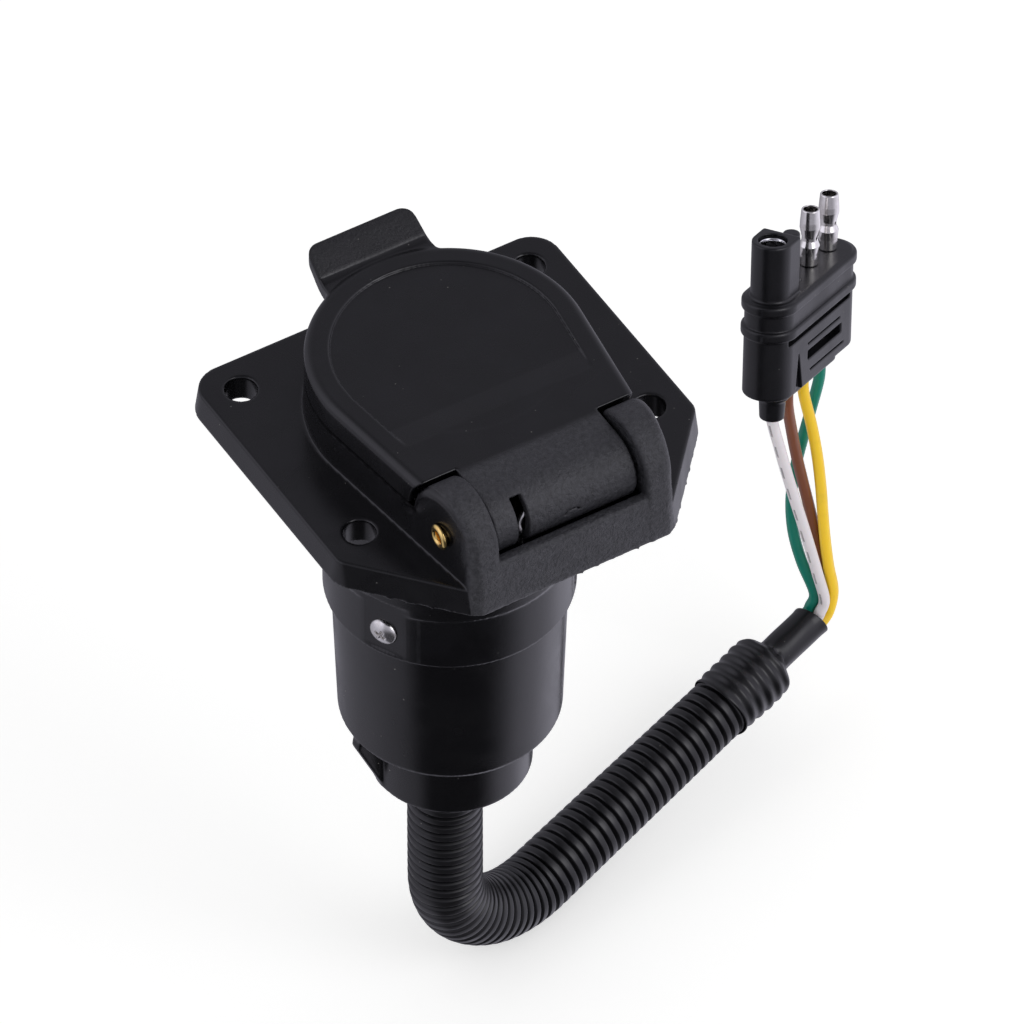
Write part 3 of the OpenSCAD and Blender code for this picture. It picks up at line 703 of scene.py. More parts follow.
def housing():
    low, high = housing_low, housing_high
    f = Field(low, high, 0.4)
    half, mid = (high[1] - low[1]) / 2, (high[1] + low[1]) / 2

    def flange(x, y, z):
        plan = rect(x, y - mid, high[0], half, 6.5 + DRAFT)
        chamfer = (np.abs(x) - high[0] + DRAFT) * math.cos(CHAMFER) - (y + 28) * math.sin(CHAMFER) - DRAFT
        ragged = np.sin(x * 0.9 + 0.4) * np.sin(x * 2.3 + y) + 0.3 * np.sin(x * 5.1)
        flash = 0.25 * np.maximum(0, ragged) * np.exp(-(z / 0.35) ** 2) * (y < -30)
        return meet(meet(meet(plan, chamfer, 1.6) + DRAFT * z / FLANGE_T, z - FLANGE_T, 0.25), -z, 0.2) - flash

    def mouth(x, y, z):
        plan = drop_shape(x, y, MOUTH_R, HINGE_Y + KNUCKLE_R + 1)
        return meet(plan + 0.04 * (z - FLANGE_T), slab(z, 1, MOUTH_Z), 0.08)

    def lean(y, z):
        """The front face spreads towards its foot, like the flange."""
        return np.where(y < WALL_OUT + 5, 0.06 * np.maximum(0, HINGE_Z - z), 0)

    def ears(x, y, z):
        v, w = y - HINGE_Y + lean(y, z), z - HINGE_Z
        profile = join(disc(v, w, EAR_R), rect(v, w + HINGE_Z / 2, EAR_R, HINGE_Z / 2))
        return meet(meet(profile, EAR_IN - np.abs(x), 0.9), side_plane(x, y, MOUTH_R), 1.9)

    def wall(x, y, z):
        block = meet(meet(WALL_OUT - y - lean(y, z), y - WALL_IN), slab(z, 0.2, WALL_TOP), 1.0)
        return meet(block, side_plane(x, y, MOUTH_R), 1.9)

    def barrel(x, y, z):
        r = np.hypot(x, y)
        upper = meet(r - BARREL_R - 0.22, slab(z, -32, 1), 0.1)
        return join(upper, meet(r - BARREL_R, slab(z, low[2], 0), 0.2))

    def pocket(x, y, z):
        """Room between the ears for the lid's hinge barrel."""
        r = KNUCKLE_R + 0.9
        above = rect(y - HINGE_Y, z - HINGE_Z - 12, r, 12)
        return meet(meet(join(round_hinge(y, z, r), above), np.abs(x) - EAR_IN), FLANGE_T - z)

    f.add(flange, low * (1, 1, 0), (high[0], high[1], FLANGE_T))
    f.add(mouth, (-MOUTH_R, -32, 0), (MOUTH_R, MOUTH_R, MOUTH_Z), 0.2)
    f.add(ears, (-28, low[1], 0), (28, -29, high[2]), 0.2)
    f.add(wall, (-28, low[1], 0), (28, WALL_IN, WALL_TOP), 0.5)
    f.add(barrel, (-28, -28, low[2]), (28, 28, 2), 0.7)
    f.cut(pocket, (-18, WALL_IN, 6), (18, -30, 26), 0.3, margin=1)

    # Mouth, throat, carrier seat and spigot bore, then the keyway
    for r, z0, z1, edge in ((23.2, -0.5, 20, 0.5), (22.9, -17, 20, 0), (24.0, -30, -15, 0),
                            (24.95, low[2] - 5, -27.1, 0.3)):
        f.cut(lambda x, y, z: meet(disc(x, y, r), slab(z, z0, z1)), (-r, -r, z0), (r, r, z1), edge)
    f.cut(lambda x, y, z: meet(rect(x, y - 12.25, 2.5, 12.25, 0.3), -15 - z), (-3, 0, -15), (3, 25, 18), 0.2)

    for x0, y0 in HOLES:
        f.cut(lambda x, y, z: disc(x - x0, y - y0, 3.5), (x0 - 4, y0 - 4, -1), (x0 + 4, y0 + 4, FLANGE_T + 1),
              0.2, margin=2)
    f.cut(pin_hole, *hinge_block(28, 3), 0.25, margin=1)
    for angle in SCREW_ANGLES:
        flat = at_screw(angle, lambda out, across, up: meet(rect(across - 0.8, up - 1.8, 8, 7.5, 2.0),
                                                            FLAT_R - out))
        drill = at_screw(angle, lambda out, across, up: meet(disc(across, up, 1.6), 20 - out))
        f.cut(flat, *screw_block(angle, BARREL_R, 10, 7, 11), 0.08, margin=1)
        f.cut(drill, *screw_block(angle, BARREL_R, 5, 3, 3), margin=1)
    piece("socket_housing_moulding", f.surface(), housing_plastic, "socket_housing")


# ---- Lid ---------------------------------------------------------------------

def lid():
    low, high = lid_low, lid_high
    f = Field(low, high, 0.3)
    reach = high[1]
    dish_depth, dish_fade, dish_r = 0.6, -20.5, 24.9

    def plate(x, y, z):
        return meet(meet(drop_shape(x, y, LID_R, -33.0), z - LID_TOP, 2.0), LID_Z - z, 0.06)

    def notch(x, y, z):
        """Clears the ears as the lid swings."""
        return meet(round_hinge(y, z, EAR_R + 0.8), KNUCKLE - np.abs(x))

    def knuckle(x, y, z):
        arm = meet(slab(y, HINGE_Y, HINGE_Y + 13), slab(z, LID_Z, LID_TOP))
        return meet(join(round_hinge(y, z, KNUCKLE_R), arm), np.abs(x) - KNUCKLE, 0.5)

    def tab(x, y, z):
        start = 29.0
        plan = rect(x, y - reach + 12, 12.65, 12, 3.0) - 0.8 * np.clip((reach - y) / 12, 0, 1)
        rise = (high[2] - LID_TOP) * ease((y - start) / (reach - start)) ** 0.8
        above = z - (LID_TOP - 0.5 + rise + 0.5 * ease((y - start) / 8.0))
        under = (LID_TOP - 4.4 + 4.9 * ease((y - start) / (reach - start + 1))) - z
        return meet(meet(meet(plan, 26 - y), above, 0.5), under, 0.7)

    def gate(x, y, z):
        """The mark that the mould's gate left on the tab's edge."""
        return np.sqrt((x + 1.2) ** 2 + (y - reach + 0.35) ** 2 + ((z - high[2] + 1.3) / 1.4) ** 2) - 0.75

    def dish(x, y, z):
        """Shallow, with an edge that fades out towards the hinge."""
        floor_z = LID_TOP - dish_depth * np.clip((y - dish_fade) / 6, 0, 1)
        return meet(drop_shape(x, y, dish_r, dish_fade), floor_z - z)

    def catch(x, y, z):
        hook = polygon(y, z, [(2, LID_TOP - 2.6), (2, LID_TOP - 5.6), (3.2, LID_TOP - 5.6),
                              (6.2, LID_TOP - 4.6), (6.2, LID_TOP - 2.6)])
        return meet(hook, np.abs(x) - 6, 0.3)

    def between(v, w, first, last):
        """The sector between two angles round the hinge's axis."""
        a, b = math.radians(first), math.radians(last)
        return meet(v * math.sin(a) - w * math.cos(a), w * math.cos(b) - v * math.sin(b))

    def channel(x, y, z):
        """Lets the lid swing past the spring's fixed leg: a tunnel that opens on the barrel's front."""
        v, w = y - HINGE_Y, z - HINGE_Z
        tunnel = meet(disc(v, w, 6.5), between(v, w, 66, 245))
        opening = meet(disc(v, w, 12), between(v, w, 117, 245))
        return meet(join(tunnel, opening), np.abs(x + 10.2) - 1.35)

    def groove(x, y, z):
        """Holds the spring's moving leg."""
        return meet(meet(np.abs(x - 9.5) - 0.9, slab(y, HINGE_Y, HINGE_Y + 14)), z - HINGE_Z - 5.3)

    def nick(x, y, z):
        """A small curved moulding mark on the barrel."""
        arc = np.abs(np.hypot((x - 1.4) / 1.5, z - HINGE_Z + 1.0) - 1.2) - 0.16
        return arc + 2.0 * np.maximum(0, HINGE_Z - 0.8 - z)

    f.add(plate)
    f.cut(notch, r=0.35)
    f.add(knuckle)
    f.add(tab, r=0.6)
    f.add(gate, r=0.1)
    f.cut(dish, r=0.1)
    # Seat of the seal, and the hollow above it
    for r, top, corner in ((27.6, LID_Z + 2.6, 0.2), (21.5, LID_TOP - 2.8, 0.6)):
        f.cut(lambda x, y, z: meet(disc(x, y, r), slab(z, LID_Z - 3, top), corner), r=0.2)
    f.add(catch, r=0.6)
    f.cut(pin_hole)
    f.cut(lambda x, y, z: meet(round_hinge(y, z, 5.25), np.abs(x) - 12))
    f.cut(channel, r=0.2)
    f.cut(nick, (-1, HINGE_Y - 8, HINGE_Z - 1), (4, HINGE_Y - 7, HINGE_Z + 1), 0.05, margin=0.6)
    f.cut(groove, (8, HINGE_Y, LID_Z - 2), (11, HINGE_Y + 14, HINGE_Z + 6), 0.15, margin=1)
    piece("lid_moulding", f.surface(), lid_plastic, "lid", "lid_flap")


# ---- Seal, pin and spring ------------------------------------------------------

def lid_seal():
    """A rubber ring with two raised lips."""
    low, high = node_box("lid_seal")
    z0, z1, r0, r1 = low[2], high[2], 22.0, high[0]
    inner = [(r0, z0 + 0.55), (r0 + 0.5, z0 + 0.55), (r0 + 0.9, z0), (r0 + 1.5, z0), (r0 + 1.9, z0 + 0.55)]
    outer = [(r0 + r1 - r, z) for r, z in inner[::-1]]
    shape = lathe(soften(inner + outer + [(r1, z1), (r0, z1)], 0.25), 160, closed=True)
    piece("lid_seal_ring", shape, rubber, "lid_seal", "lid_flap")


def hinge_pin():
    """A hollow pin with both ends rolled over the ears."""
    half = node_box("hinge_pin")[1][0] + 0.05
    r, bore = 2.0, 1.2
    rim = [(bore, 1.1), (bore + 0.1, 0.45), (bore + 0.45, 0.08), (bore + 0.9, 0.0), (2.5, 0.16), (2.85, 0.5),
           (2.85, 0.88), (r, 0.88)]
    top = [(a, half - b) for a, b in rim[::-1]]
    bottom = [(a, -half + b) for a, b in rim]
    outline = bottom[1:] + top[:-1] + [(bore, half - 1.5), (bore, -half + 1.5)]
    shape = lathe(soften(outline, 0.22), 72, closed=True)
    piece("hinge_pin_rolled", shape, gold_plate, "hinge_pin", turn=rotation(y=90),
          origin=(0, HINGE_Y, HINGE_Z))


def torsion_spring():
    """Coils round the pin, a foot that stands on the housing and a hand that presses on the lid."""
    turns, per_turn, coil_r, wire, leg = 9, 36, 4.4, 0.6, 9.5
    count = turns * per_turn
    coil = []
    for i in range(count + 1):
        a = math.radians(180 - 360 * i / per_turn - 90 * i / count)
        tuck = 2.2 * (ease(i / 3) * (1 - i / count) - ease((count - i) / 3) * i / count)
        coil.append((mix(-leg, leg, i / count) + tuck, HINGE_Y + coil_r * math.cos(a),
                     HINGE_Z + coil_r * math.sin(a)))
    foot = [(-leg - 0.35, HINGE_Y - coil_r - 0.8 * ease((HINGE_Z - z) / 2.5), z)
            for z in np.linspace(FLANGE_T + 0.95, HINGE_Z - 0.8, 8)]
    hand = [(leg, HINGE_Y + 1.5 + k * 1.2, HINGE_Z + coil_r) for k in range(10)]
    path, _ = resample(foot + coil + hand, 0.45)
    obj = piece("torsion_spring_wire", sweep(path, wire), bright_steel, "torsion_spring", None)
    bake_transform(obj)


# ---- Rear cover, its screws and the grommet ------------------------------------

NECK_R = 17.7
NECK_L = 17.5
COVER_END = cover_low[2] + NECK_L


def rear_cover():
    low, high = cover_low, cover_high
    f = Field(low, high, 0.4)
    spigot_r, top_r, end_r, wall = 24.8, 25.3, 24.1, 2.2

    def body(x, y, z):
        r = np.hypot(x, y)
        down = (housing_low[2] - 0.1 - z) / (housing_low[2] - COVER_END)
        share = np.clip(down, 0, 1)
        outer = meet(r - np.where(down > 0, mix(top_r, end_r, share), spigot_r), COVER_END + 0.8 - z, 0.35)
        lip = meet(r - end_r + 0.5, slab(z, COVER_END, COVER_END + 2), 0.2)
        neck = meet(r - NECK_R - 0.006 * (z - low[2]), slab(z, low[2], COVER_END + 3), 0.45)
        hollow = meet(r - mix(spigot_r, end_r, share) + wall, COVER_END + wall - z, 1.0)
        return minus(meet(join(join(outer, lip), neck, 0.6), z - high[2], 0.3), hollow)

    def web(x, y, z):
        """The gussets between the cover and its neck."""
        side = polygon(np.abs(x), z, [(NECK_R - 1, COVER_END + 1), (end_r - 1, COVER_END + 1),
                                      (end_r - 0.3, COVER_END - 2.6), (NECK_R - 0.1, low[2] + 0.6),
                                      (NECK_R - 1, low[2] + 0.6)])
        return meet(side, np.abs(y) - 1.5, 0.45)

    f.add(body, low, high)
    f.add(web, (-end_r, -2, low[2]), (end_r, 2, COVER_END + 1), 0.7)
    f.cut(lambda x, y, z: disc(x, y, NECK_R - 3.2), (-15, -15, low[2] - 1), (15, 15, COVER_END + 4), 0.5)
    for angle in SCREW_ANGLES:
        boss = at_screw(angle, lambda out, across, up: meet(disc(across, up, 3.2),
                                                            slab(out, spigot_r - 6, spigot_r - 1), 0.4))
        drill = at_screw(angle, lambda out, across, up: meet(disc(across, up, 1.35), spigot_r - 7 - out))
        corners = screw_block(angle, 21.5, 6, 4, 4)
        f.add(boss, *corners, 0.5, margin=1)
        f.cut(drill, *corners, margin=1)
    piece("rear_cover_moulding", f.surface(), cover_plastic, "rear_cover")


def screw_shape():
    """A pan head with a cross recess, and a threaded shank, along +Z from its seat."""
    head_r, head_h, shank_r = 3.3, 1.7, 1.33
    f = Field((-head_r, -head_r, -0.05), (head_r, head_r, head_h + 0.1), 0.09)

    def head(x, y, z):
        r = np.hypot(x, y)
        dome = np.sqrt(r * r + (z + 3.2) ** 2) - (head_h + 3.2)
        return meet(meet(r - head_r, dome, 0.5), -z, 0.1)

    def cross(x, y, z):
        deep = np.maximum(0, z - 0.35)
        wide, long = 0.22 + 0.12 * deep, 0.75 + 0.55 * deep
        return meet(join(rect(x, y, long, wide, 0.1), rect(x, y, wide, long, 0.1), 0.15), 0.35 - z, 0.1)
    f.add(head)
    f.cut(cross, r=0.12)
    thread = [(0, -8.4), (0.5, -8.2)]
    for z in np.arange(-7.2, -0.9, 0.85):
        thread += [(shank_r - 0.28, z), (shank_r, z + 0.32), (shank_r, z + 0.42)]
    thread += [(shank_r, -0.1), (shank_r, 0.2), (0, 0.2)]
    return merge(f.surface(), lathe(thread, 32))


def cover_screws():
    points, faces = screw_shape()
    parts = []
    for i, angle in enumerate(SCREW_ANGLES):
        seated = np.array(points) @ rotation(z=25 + 40 * i).T + np.array((0, 0, FLAT_R + 0.03))
        parts.append((seated @ rotation(y=90, z=angle).T, faces))
    piece("cover_screws_pan_head", merge(*parts), zinc, "cover_screws", origin=(0, 0, SCREW_Z))


def cable_grommet():
    low, high = node_box("cable_grommet")
    r, bore, z0, z1 = high[0], 8.35, low[2], high[2]
    outline = [(bore, z0 + 0.3), (bore + 0.3, z0), (r - 2.6, z0), (r - 2.0, z0 + 0.5), (r - 0.4, z0 + 0.5),
               (r, z0 + 0.9), (r, z1), (bore, z1)]
    shape = lathe(soften(outline, 0.25), closed=True)
    piece("cable_grommet_ring", shape, rubber, "cable_grommet")


# ---- The loom's route ----------------------------------------------------------

UP = np.array((0.0, 0.0, 1.0))
HEADING, BEND, BEND_R, BEND_START = math.radians(16.5), 98, 25.4, -138.5
RUN, SLEEVE, LOOM_CUT = 90, 31, 16
LOOM_PITCH = 2.55
HEAD = np.array((math.cos(HEADING), math.sin(HEADING), 0))
ASIDE = np.array((-math.sin(HEADING), math.cos(HEADING), 0))
RUN_DIR = HEAD * math.sin(math.radians(BEND)) - UP * math.cos(math.radians(BEND))
RUN_UP = np.cross(RUN_DIR, ASIDE)


def polar(r, degrees, z=0.0):
    a = math.radians(degrees)
    return np.array((r * math.cos(a), r * math.sin(a), z))


def bend_at(angle, s=0.0, u=0.0):
    """A point of the loom's bend, s aside and u above its middle."""
    a = math.radians(angle)
    return (BEND_R - u) * (-math.cos(a) * HEAD - math.sin(a) * UP) + BEND_R * HEAD + UP * BEND_START + ASIDE * s


def run_at(length, s=0.0, u=0.0):
    return bend_at(BEND) + RUN_DIR * length + ASIDE * s + RUN_UP * u


def drop_at(z, s=0.0, u=0.0):
    return UP * z + ASIDE * s + HEAD * u


def hang(p):
    """The loom hangs about a millimetre aside of the neck's axis."""
    k = 1.3 * ease((-86 - p[2]) / 34) * ease((14 - p @ HEAD) / 16)
    return p - k * polar(1, -31.13)


def loom():
    """Corrugated split loom: ridges with a flat crown, and a slit down its hidden side."""
    top = COVER_END - 0.5
    route = [drop_at(z) for z in np.arange(top, BEND_START, -1.0)]
    route += [bend_at(a) for a in np.arange(0, BEND, 1.5)]
    route += [run_at(v) for v in np.arange(0, RUN - LOOM_CUT + 0.5, 1.0)]
    path, along = resample([hang(p) for p in route], LOOM_PITCH / 16)
    straight = top - BEND_START
    crown = mix(8.2, 7.0, np.clip((along - straight) / (along[-1] - straight), 0, 1))
    wave = (along / LOOM_PITCH) % 1.0
    ridge = ease((np.abs(wave - 0.5) - 0.10) / 0.11)
    outer = crown - 1.25 * (1 - ridge) - 0.12 * (2 * np.minimum(wave, 1 - wave)) ** 2
    slit, slit_at = math.radians(2.2), math.radians(-16.5)
    out = spokes(path, np.linspace(slit_at + slit, slit_at + 2 * math.pi - slit, 72))
    outside, inside = (path[:, None] + (outer - wall)[:, None, None] * out for wall in (0, 0.55))
    rings = np.concatenate([outside, inside[:, ::-1]], 1)
    piece("loom_corrugated", skin(rings), loom_plastic, "loom")


def heat_shrink():
    """A sleeve drawn over the loom's last ridges, then tight round the wires."""
    start, cut = RUN - SLEEVE, RUN - LOOM_CUT
    path, along = resample([run_at(v) for v in np.arange(start, RUN + 0.01, 0.5)], 0.22)
    v = along[:, None] + start
    angle = np.linspace(0, 2 * np.pi, 96, endpoint=False)
    rng = np.random.default_rng(7)
    lumps = [(rng.uniform(0.5, 1.6), int(rng.integers(1, 5)), rng.uniform(0, 6.28), rng.uniform(0, 6.28))
             for _ in range(10)]
    necked = ease((v - cut + 0.4) / 3.4)
    ridges = 0.24 * np.cos(2 * np.pi * (v - cut) / (LOOM_PITCH * 1.15)) * ease((cut - v + 1) / 3)
    big = 7.42 + 0.2 * ease((v - start) / 9) + ridges
    small = 4.0 + 0.12 * ease((v - RUN + 2) / 2)
    wobble = sum(np.sin(k * angle + a + v * w * 0.55 + b) for w, k, a, b in lumps) / 10
    ruffle = 0.35 * np.exp(-((v - cut - 1.6) / 1.5) ** 2) * np.cos(9 * angle + 2 * wobble)
    r = mix(big, small, necked) + 0.22 * wobble * (1 - 0.55 * necked) + ruffle
    wall = mix(0.12, 0.45, ease((v - start) / 2))
    # Neither end is cut square
    skew = 0.9 * np.cos(angle - 0.7) * ease((v - RUN + 3) / 3)
    skew = skew + 0.5 * np.cos(2 * angle) * ease((start + 2 - v) / 2)
    middle = path[:, None] + skew[..., None] * RUN_DIR
    out = spokes(path, angle)
    rings = np.concatenate([middle + r[..., None] * out, (middle + (r - wall)[..., None] * out)[::-1]])
    piece("heat_shrink_sleeve", skin(rings, loop=True), shrink, "heat_shrink")


# ---- Wires -----------------------------------------------------------------------

PLUG_AT = np.array((112.0, 40.0, -86.0))
PLUG_TURN = rotation(-8.2, 17.1, 29.4)
PLUG_PITCH, EXIT_PITCH = 9.0, 7.6
POST_TOP, POST_H, BLADE_CIRCLE = -27.2, 10.0, 15.5
BUNDLE = 1.45
WIRE_R = 1.3
GATHER_Z = -72


def on_plug(x, y, z):
    return PLUG_AT + PLUG_TURN @ np.array((x, y, z), float)


def wire_route(angle, s, u, place, bow, sway, lean):
    """From the terminal at an angle, along the loom at (s, u) in its bundle, up to one place of the flat
    plug. The loose end bows and sways to the side, and leans to the front."""
    across, front = polar(1, -31), polar(1, -121)
    gathered = drop_at(GATHER_Z, s, u)
    turn_to, far = math.degrees(math.atan2(gathered[1], gathered[0])), math.hypot(gathered[0], gathered[1])
    clamp_z = POST_TOP - POST_H
    route = [polar(BLADE_CIRCLE, angle, clamp_z + 6)]
    for t in np.linspace(0, 1, 9):
        k = ease(t)
        route.append(polar(mix(BLADE_CIRCLE, far, k), mix(angle, turn_to, k), mix(clamp_z - 1, GATHER_Z, t)))
    route += [drop_at(z, s, u) for z in (-90, -115, BEND_START)]
    route += [bend_at(a, s, u) for a in range(7, BEND - 2, 7)]
    route += [run_at(v, s, u) for v in range(0, RUN - 9, 20)]
    route += [run_at(RUN - 3, s, u), run_at(RUN + 0.3, s, u)]
    route += [run_at(RUN + 2.6 - 0.85 * u, s, 0.85 * u) + UP * 1.2]
    start, leave = run_at(RUN + 4 - u, s) + UP * 5.5, on_plug(place * EXIT_PITCH, 0, 0)
    for t in np.arange(0, 0.9, 0.14):
        side = bow * math.sin(math.pi * t) + sway * math.sin(2 * math.pi * t)
        route.append(mix(start, leave, t) + across * side + front * lean * math.sin(math.pi * t))
    return spline(route + [leave, on_plug(place * EXIT_PITCH, 0, 5)], 14)


def wire(node, material, seed, shape):
    path, along = resample(wire_route(*shape), 0.45 * COARSE)
    phases = np.random.default_rng(seed).uniform(0, 2 * math.pi, 3)
    lump = 0.35 * np.sin(along / 2.1 + phases[0]) + 0.4 * np.sin(along / 5.3 + phases[1])
    oval = np.cos(2 * ROUND + along[:, None] / 17 + phases[2])
    bar = sweep(path, WIRE_R * (0.985 + 0.008 * lump[:, None] + 0.007 * oval))
    obj = piece(node + "_insulation", bar, material, node)
    marks = {"along": np.repeat(along, len(ROUND)), "around": np.tile(ROUND / (2 * np.pi), len(path))}
    for name, values in marks.items():
        obj.data.attributes.new(name, "FLOAT", "POINT").data.foreach_set("value", values.astype(np.float32))


# ---- Four-way flat plug --------------------------------------------------------

PLUG_H, BULLET_H, PLUG_W = 30.8, 13.3, 11.5
PLUG_TOP = PLUG_H + BULLET_H
GROUND_X, POST_X, NEAR_X, FAR_X = (k * PLUG_PITCH for k in (-1.5, -0.5, 0.5, 1.5))
SOCKET_Z = 12.2


def pill(x, y, half, r):
    """A stadium along X."""
    return np.hypot(np.maximum(np.abs(x) - half, 0), y) - r


def plug_body():
    f = Field((-20.2, -6.6, 0.1), (20.2, 6.6, PLUG_TOP + 0.1), 0.22)
    r = PLUG_W / 2

    def body(x, y, z):
        bottom = 8.2 - 0.7 * (x < 6.8)
        return meet(pill(x, y, FAR_X, r), slab(z, bottom, PLUG_H), 0.55)

    def lower(x, y, z):
        return meet(pill(x, y, FAR_X - 2.5, r - 2.2), slab(z, 5, 12), 0.5)

    def sheath(x, y, z):
        v = x - GROUND_X
        plan = join(disc(v, y, 4.6), rect(v - 2.3, y, 2.3, 4.6, 0.5))
        return meet(plan, slab(z, PLUG_H - 1, PLUG_TOP), 0.35)

    def post(x, y, z):
        return meet(disc(x - POST_X, y, 1.9 + 0.01 * (PLUG_TOP - z)), slab(z, PLUG_H - 4, PLUG_TOP - 1.9), 0.5)

    f.add(body)
    f.add(lower, r=0.2)
    for level in (29.3, 23.1):
        f.add(lambda x, y, z: meet(pill(x, y, FAR_X, r) - 0.72, np.abs(z - level) - 1.25, 0.6), r=0.15)
    f.add(sheath, r=0.5)
    f.add(post, r=0.5)
    # A sleeve for each wire, longer at the ground wire, then the holes of the terminals
    for i in (-1.5, -0.5, 0.5, 1.5):
        x0, end = i * EXIT_PITCH, 0.2 if i < -1 else 5.0
        f.add(lambda x, y, z: meet(disc(x - x0, y, 2.75 + 0.05 * z), slab(z, end, 9), 0.5), r=0.5)
        f.cut(lambda x, y, z: meet(disc(x - x0, y, WIRE_R + 0.5 - 0.02 * z), z - 6.8), r=0.2)
    for x0, hole, top in ((GROUND_X, 3.2, 60), (NEAR_X, 1.6, 60), (FAR_X, 1.6, 60),
                          (POST_X, 1.1, PLUG_TOP - 2.5)):
        f.cut(lambda x, y, z: meet(disc(x - x0, y, hole), slab(z, 12, top)), r=0.12)

    # Relief of the broad front face: two slots, two grooves and a wedge-shaped recess
    def relief(plan, depth, edge):
        f.cut(lambda x, y, z: meet(plan(x, z), y + r - depth), r=edge)
    for x0, z0, half_x, half_z, corner, depth, edge in (
            (1.8, 14.5, 8, 1.1, 0.2, 2.2, 0.1), (-0.8, 21.1, 14.4, 0.85, 0.2, 1.5, 0.1),
            (1.35, 17.3, 7.65, 0.2, 0.05, 0.6, 0.05), (3, 10.6, 8, 0.2, 0.05, 0.6, 0.05)):
        relief(lambda x, z: rect(x - x0, z - z0, half_x, half_z, corner), depth, edge)
    relief(lambda x, z: polygon(x, z, [(-10.6, 16.8), (-11.8, 7.0), (-8.5, 7.0)]), 1.0, 0.1)
    piece("plug_body_moulding", f.surface(), pvc, "plug_body", turn=PLUG_TURN, origin=PLUG_AT)


def bullet(node, x0):
    """A rolled bullet pin: two bulges with a waist, a hollow tip and a dimple."""
    r, foot, tip = 2.3, PLUG_H + 0.05, PLUG_TOP
    f = Field((-2.5, -2.5, foot - 0.1), (2.5, 2.5, tip + 0.05), 0.11)
    waist = foot + 6.3
    heights = [foot, foot + 2.6, foot + 4.6, waist - 0.4, waist + 0.4, waist + 2.6, waist + 4.0, tip]
    radii = [r - 0.25, r - 0.2, r, r - 0.5, r - 0.5, r, r - 0.05, r - 0.3]
    f.add(lambda x, y, z: meet(disc(x, y, np.interp(z, heights, radii)), slab(z, foot, tip), 0.18))
    f.cut(lambda x, y, z: meet(disc(x, y, 1.6), tip - 8 - z), r=0.08)
    f.cut(lambda x, y, z: np.sqrt(x ** 2 + (y + r - 0.1) ** 2 + ((z - waist) / 1.1) ** 2) - 0.62, r=0.12)
    outline = [(0, SOCKET_Z), (1.3, SOCKET_Z), (1.55, SOCKET_Z + 0.3), (1.55, foot + 0.3), (0, foot + 0.3)]
    shank = lathe(outline, 32)
    piece(node + "_bullet", merge(f.surface(), shank), nickel, node,
          turn=PLUG_TURN, origin=on_plug(x0, 0, 0))


def hidden_pin():
    """The pin inside the moulded post."""
    r, top = 1.05, PLUG_TOP - 2.7
    outline = [(0, SOCKET_Z), (r - 0.25, SOCKET_Z), (r, SOCKET_Z + 0.3), (r, top - 0.4), (r - 0.35, top),
               (0, top)]
    piece("plug_pin_brown_rod", lathe(outline, 32), nickel, "plug_pin_brown",
          turn=PLUG_TURN, origin=on_plug(POST_X, 0, 0))


def ground_terminal():
    """A rolled tube with a turned-over mouth."""
    top = PLUG_TOP - 0.9
    outline = [(0, SOCKET_Z), (2.7, SOCKET_Z), (3.15, SOCKET_Z + 0.5), (3.15, top - 0.5), (3.0, top - 0.12),
               (2.87, top), (2.72, top - 0.12), (2.6, top - 0.6), (2.5, top - 4), (2.6, top - 8), (2.6, 18.2),
               (0, 18.2)]
    piece("plug_ground_terminal_tube", lathe(soften(outline, 0.2, closed=False), 64), chrome,
          "plug_ground_terminal", turn=PLUG_TURN, origin=on_plug(GROUND_X, 0, 0))


# ---- Everything in its place --------------------------------------------------------

housing()
lid()
lid_seal()
hinge_pin()
torsion_spring()
cover_screws()
rear_cover()
cable_grommet()
loom()
heat_shrink()
# Angle of the terminal, place in the bundle (two values), place in the plug, bow, sway and lean
WIRES = {
    "wire_white": (white_pvc, (60, -BUNDLE, BUNDLE, -1.5, -0.11, 0.18, -0.33)),
    "wire_brown": (brown_pvc, (300, BUNDLE, -BUNDLE, -0.5, 0.01, 0.37, -1.01)),
    "wire_yellow": (yellow_pvc, (0, -BUNDLE, -BUNDLE, 0.5, 0.73, -0.5, 1.64)),
    "wire_green": (green_pvc, (180, BUNDLE, BUNDLE, 1.5, -5.29, -0.94, -1.02)),
}
for seed, (node, (look, shape)) in enumerate(WIRES.items()):
    wire(node, look, seed, shape)
plug_body()
bullet("plug_pin_yellow", NEAR_X)
bullet("plug_pin_green", FAR_X)
hidden_pin()
ground_terminal()

# Parts whose CAD shape is right keep it, with broken edges and their own material
CONTACT = (brass, 0.15, "contact_brass")
KEPT = {name: CONTACT for name in frame["nodes"] if name.startswith("contact_")}
KEPT |= {"contact_carrier": (carrier_plastic, 0.25, "carrier_plastic"), "centre_pin": CONTACT,
         "terminal_screws": (zinc, 0.08, "screw_zinc")}
for name, (look, width, slot) in KEPT.items():
    obj = frame["nodes"][name]
    obj.data.materials.clear()
    obj.data.materials.append(look)
    bevel = obj.modifiers.new("broken edges", "BEVEL")
    bevel.width = width * MM
    bevel.segments = 2
    bevel.limit_method = "ANGLE"
    bevel.angle_limit = math.radians(35)


# ---- Floor, light and camera -----------------------------------------------------

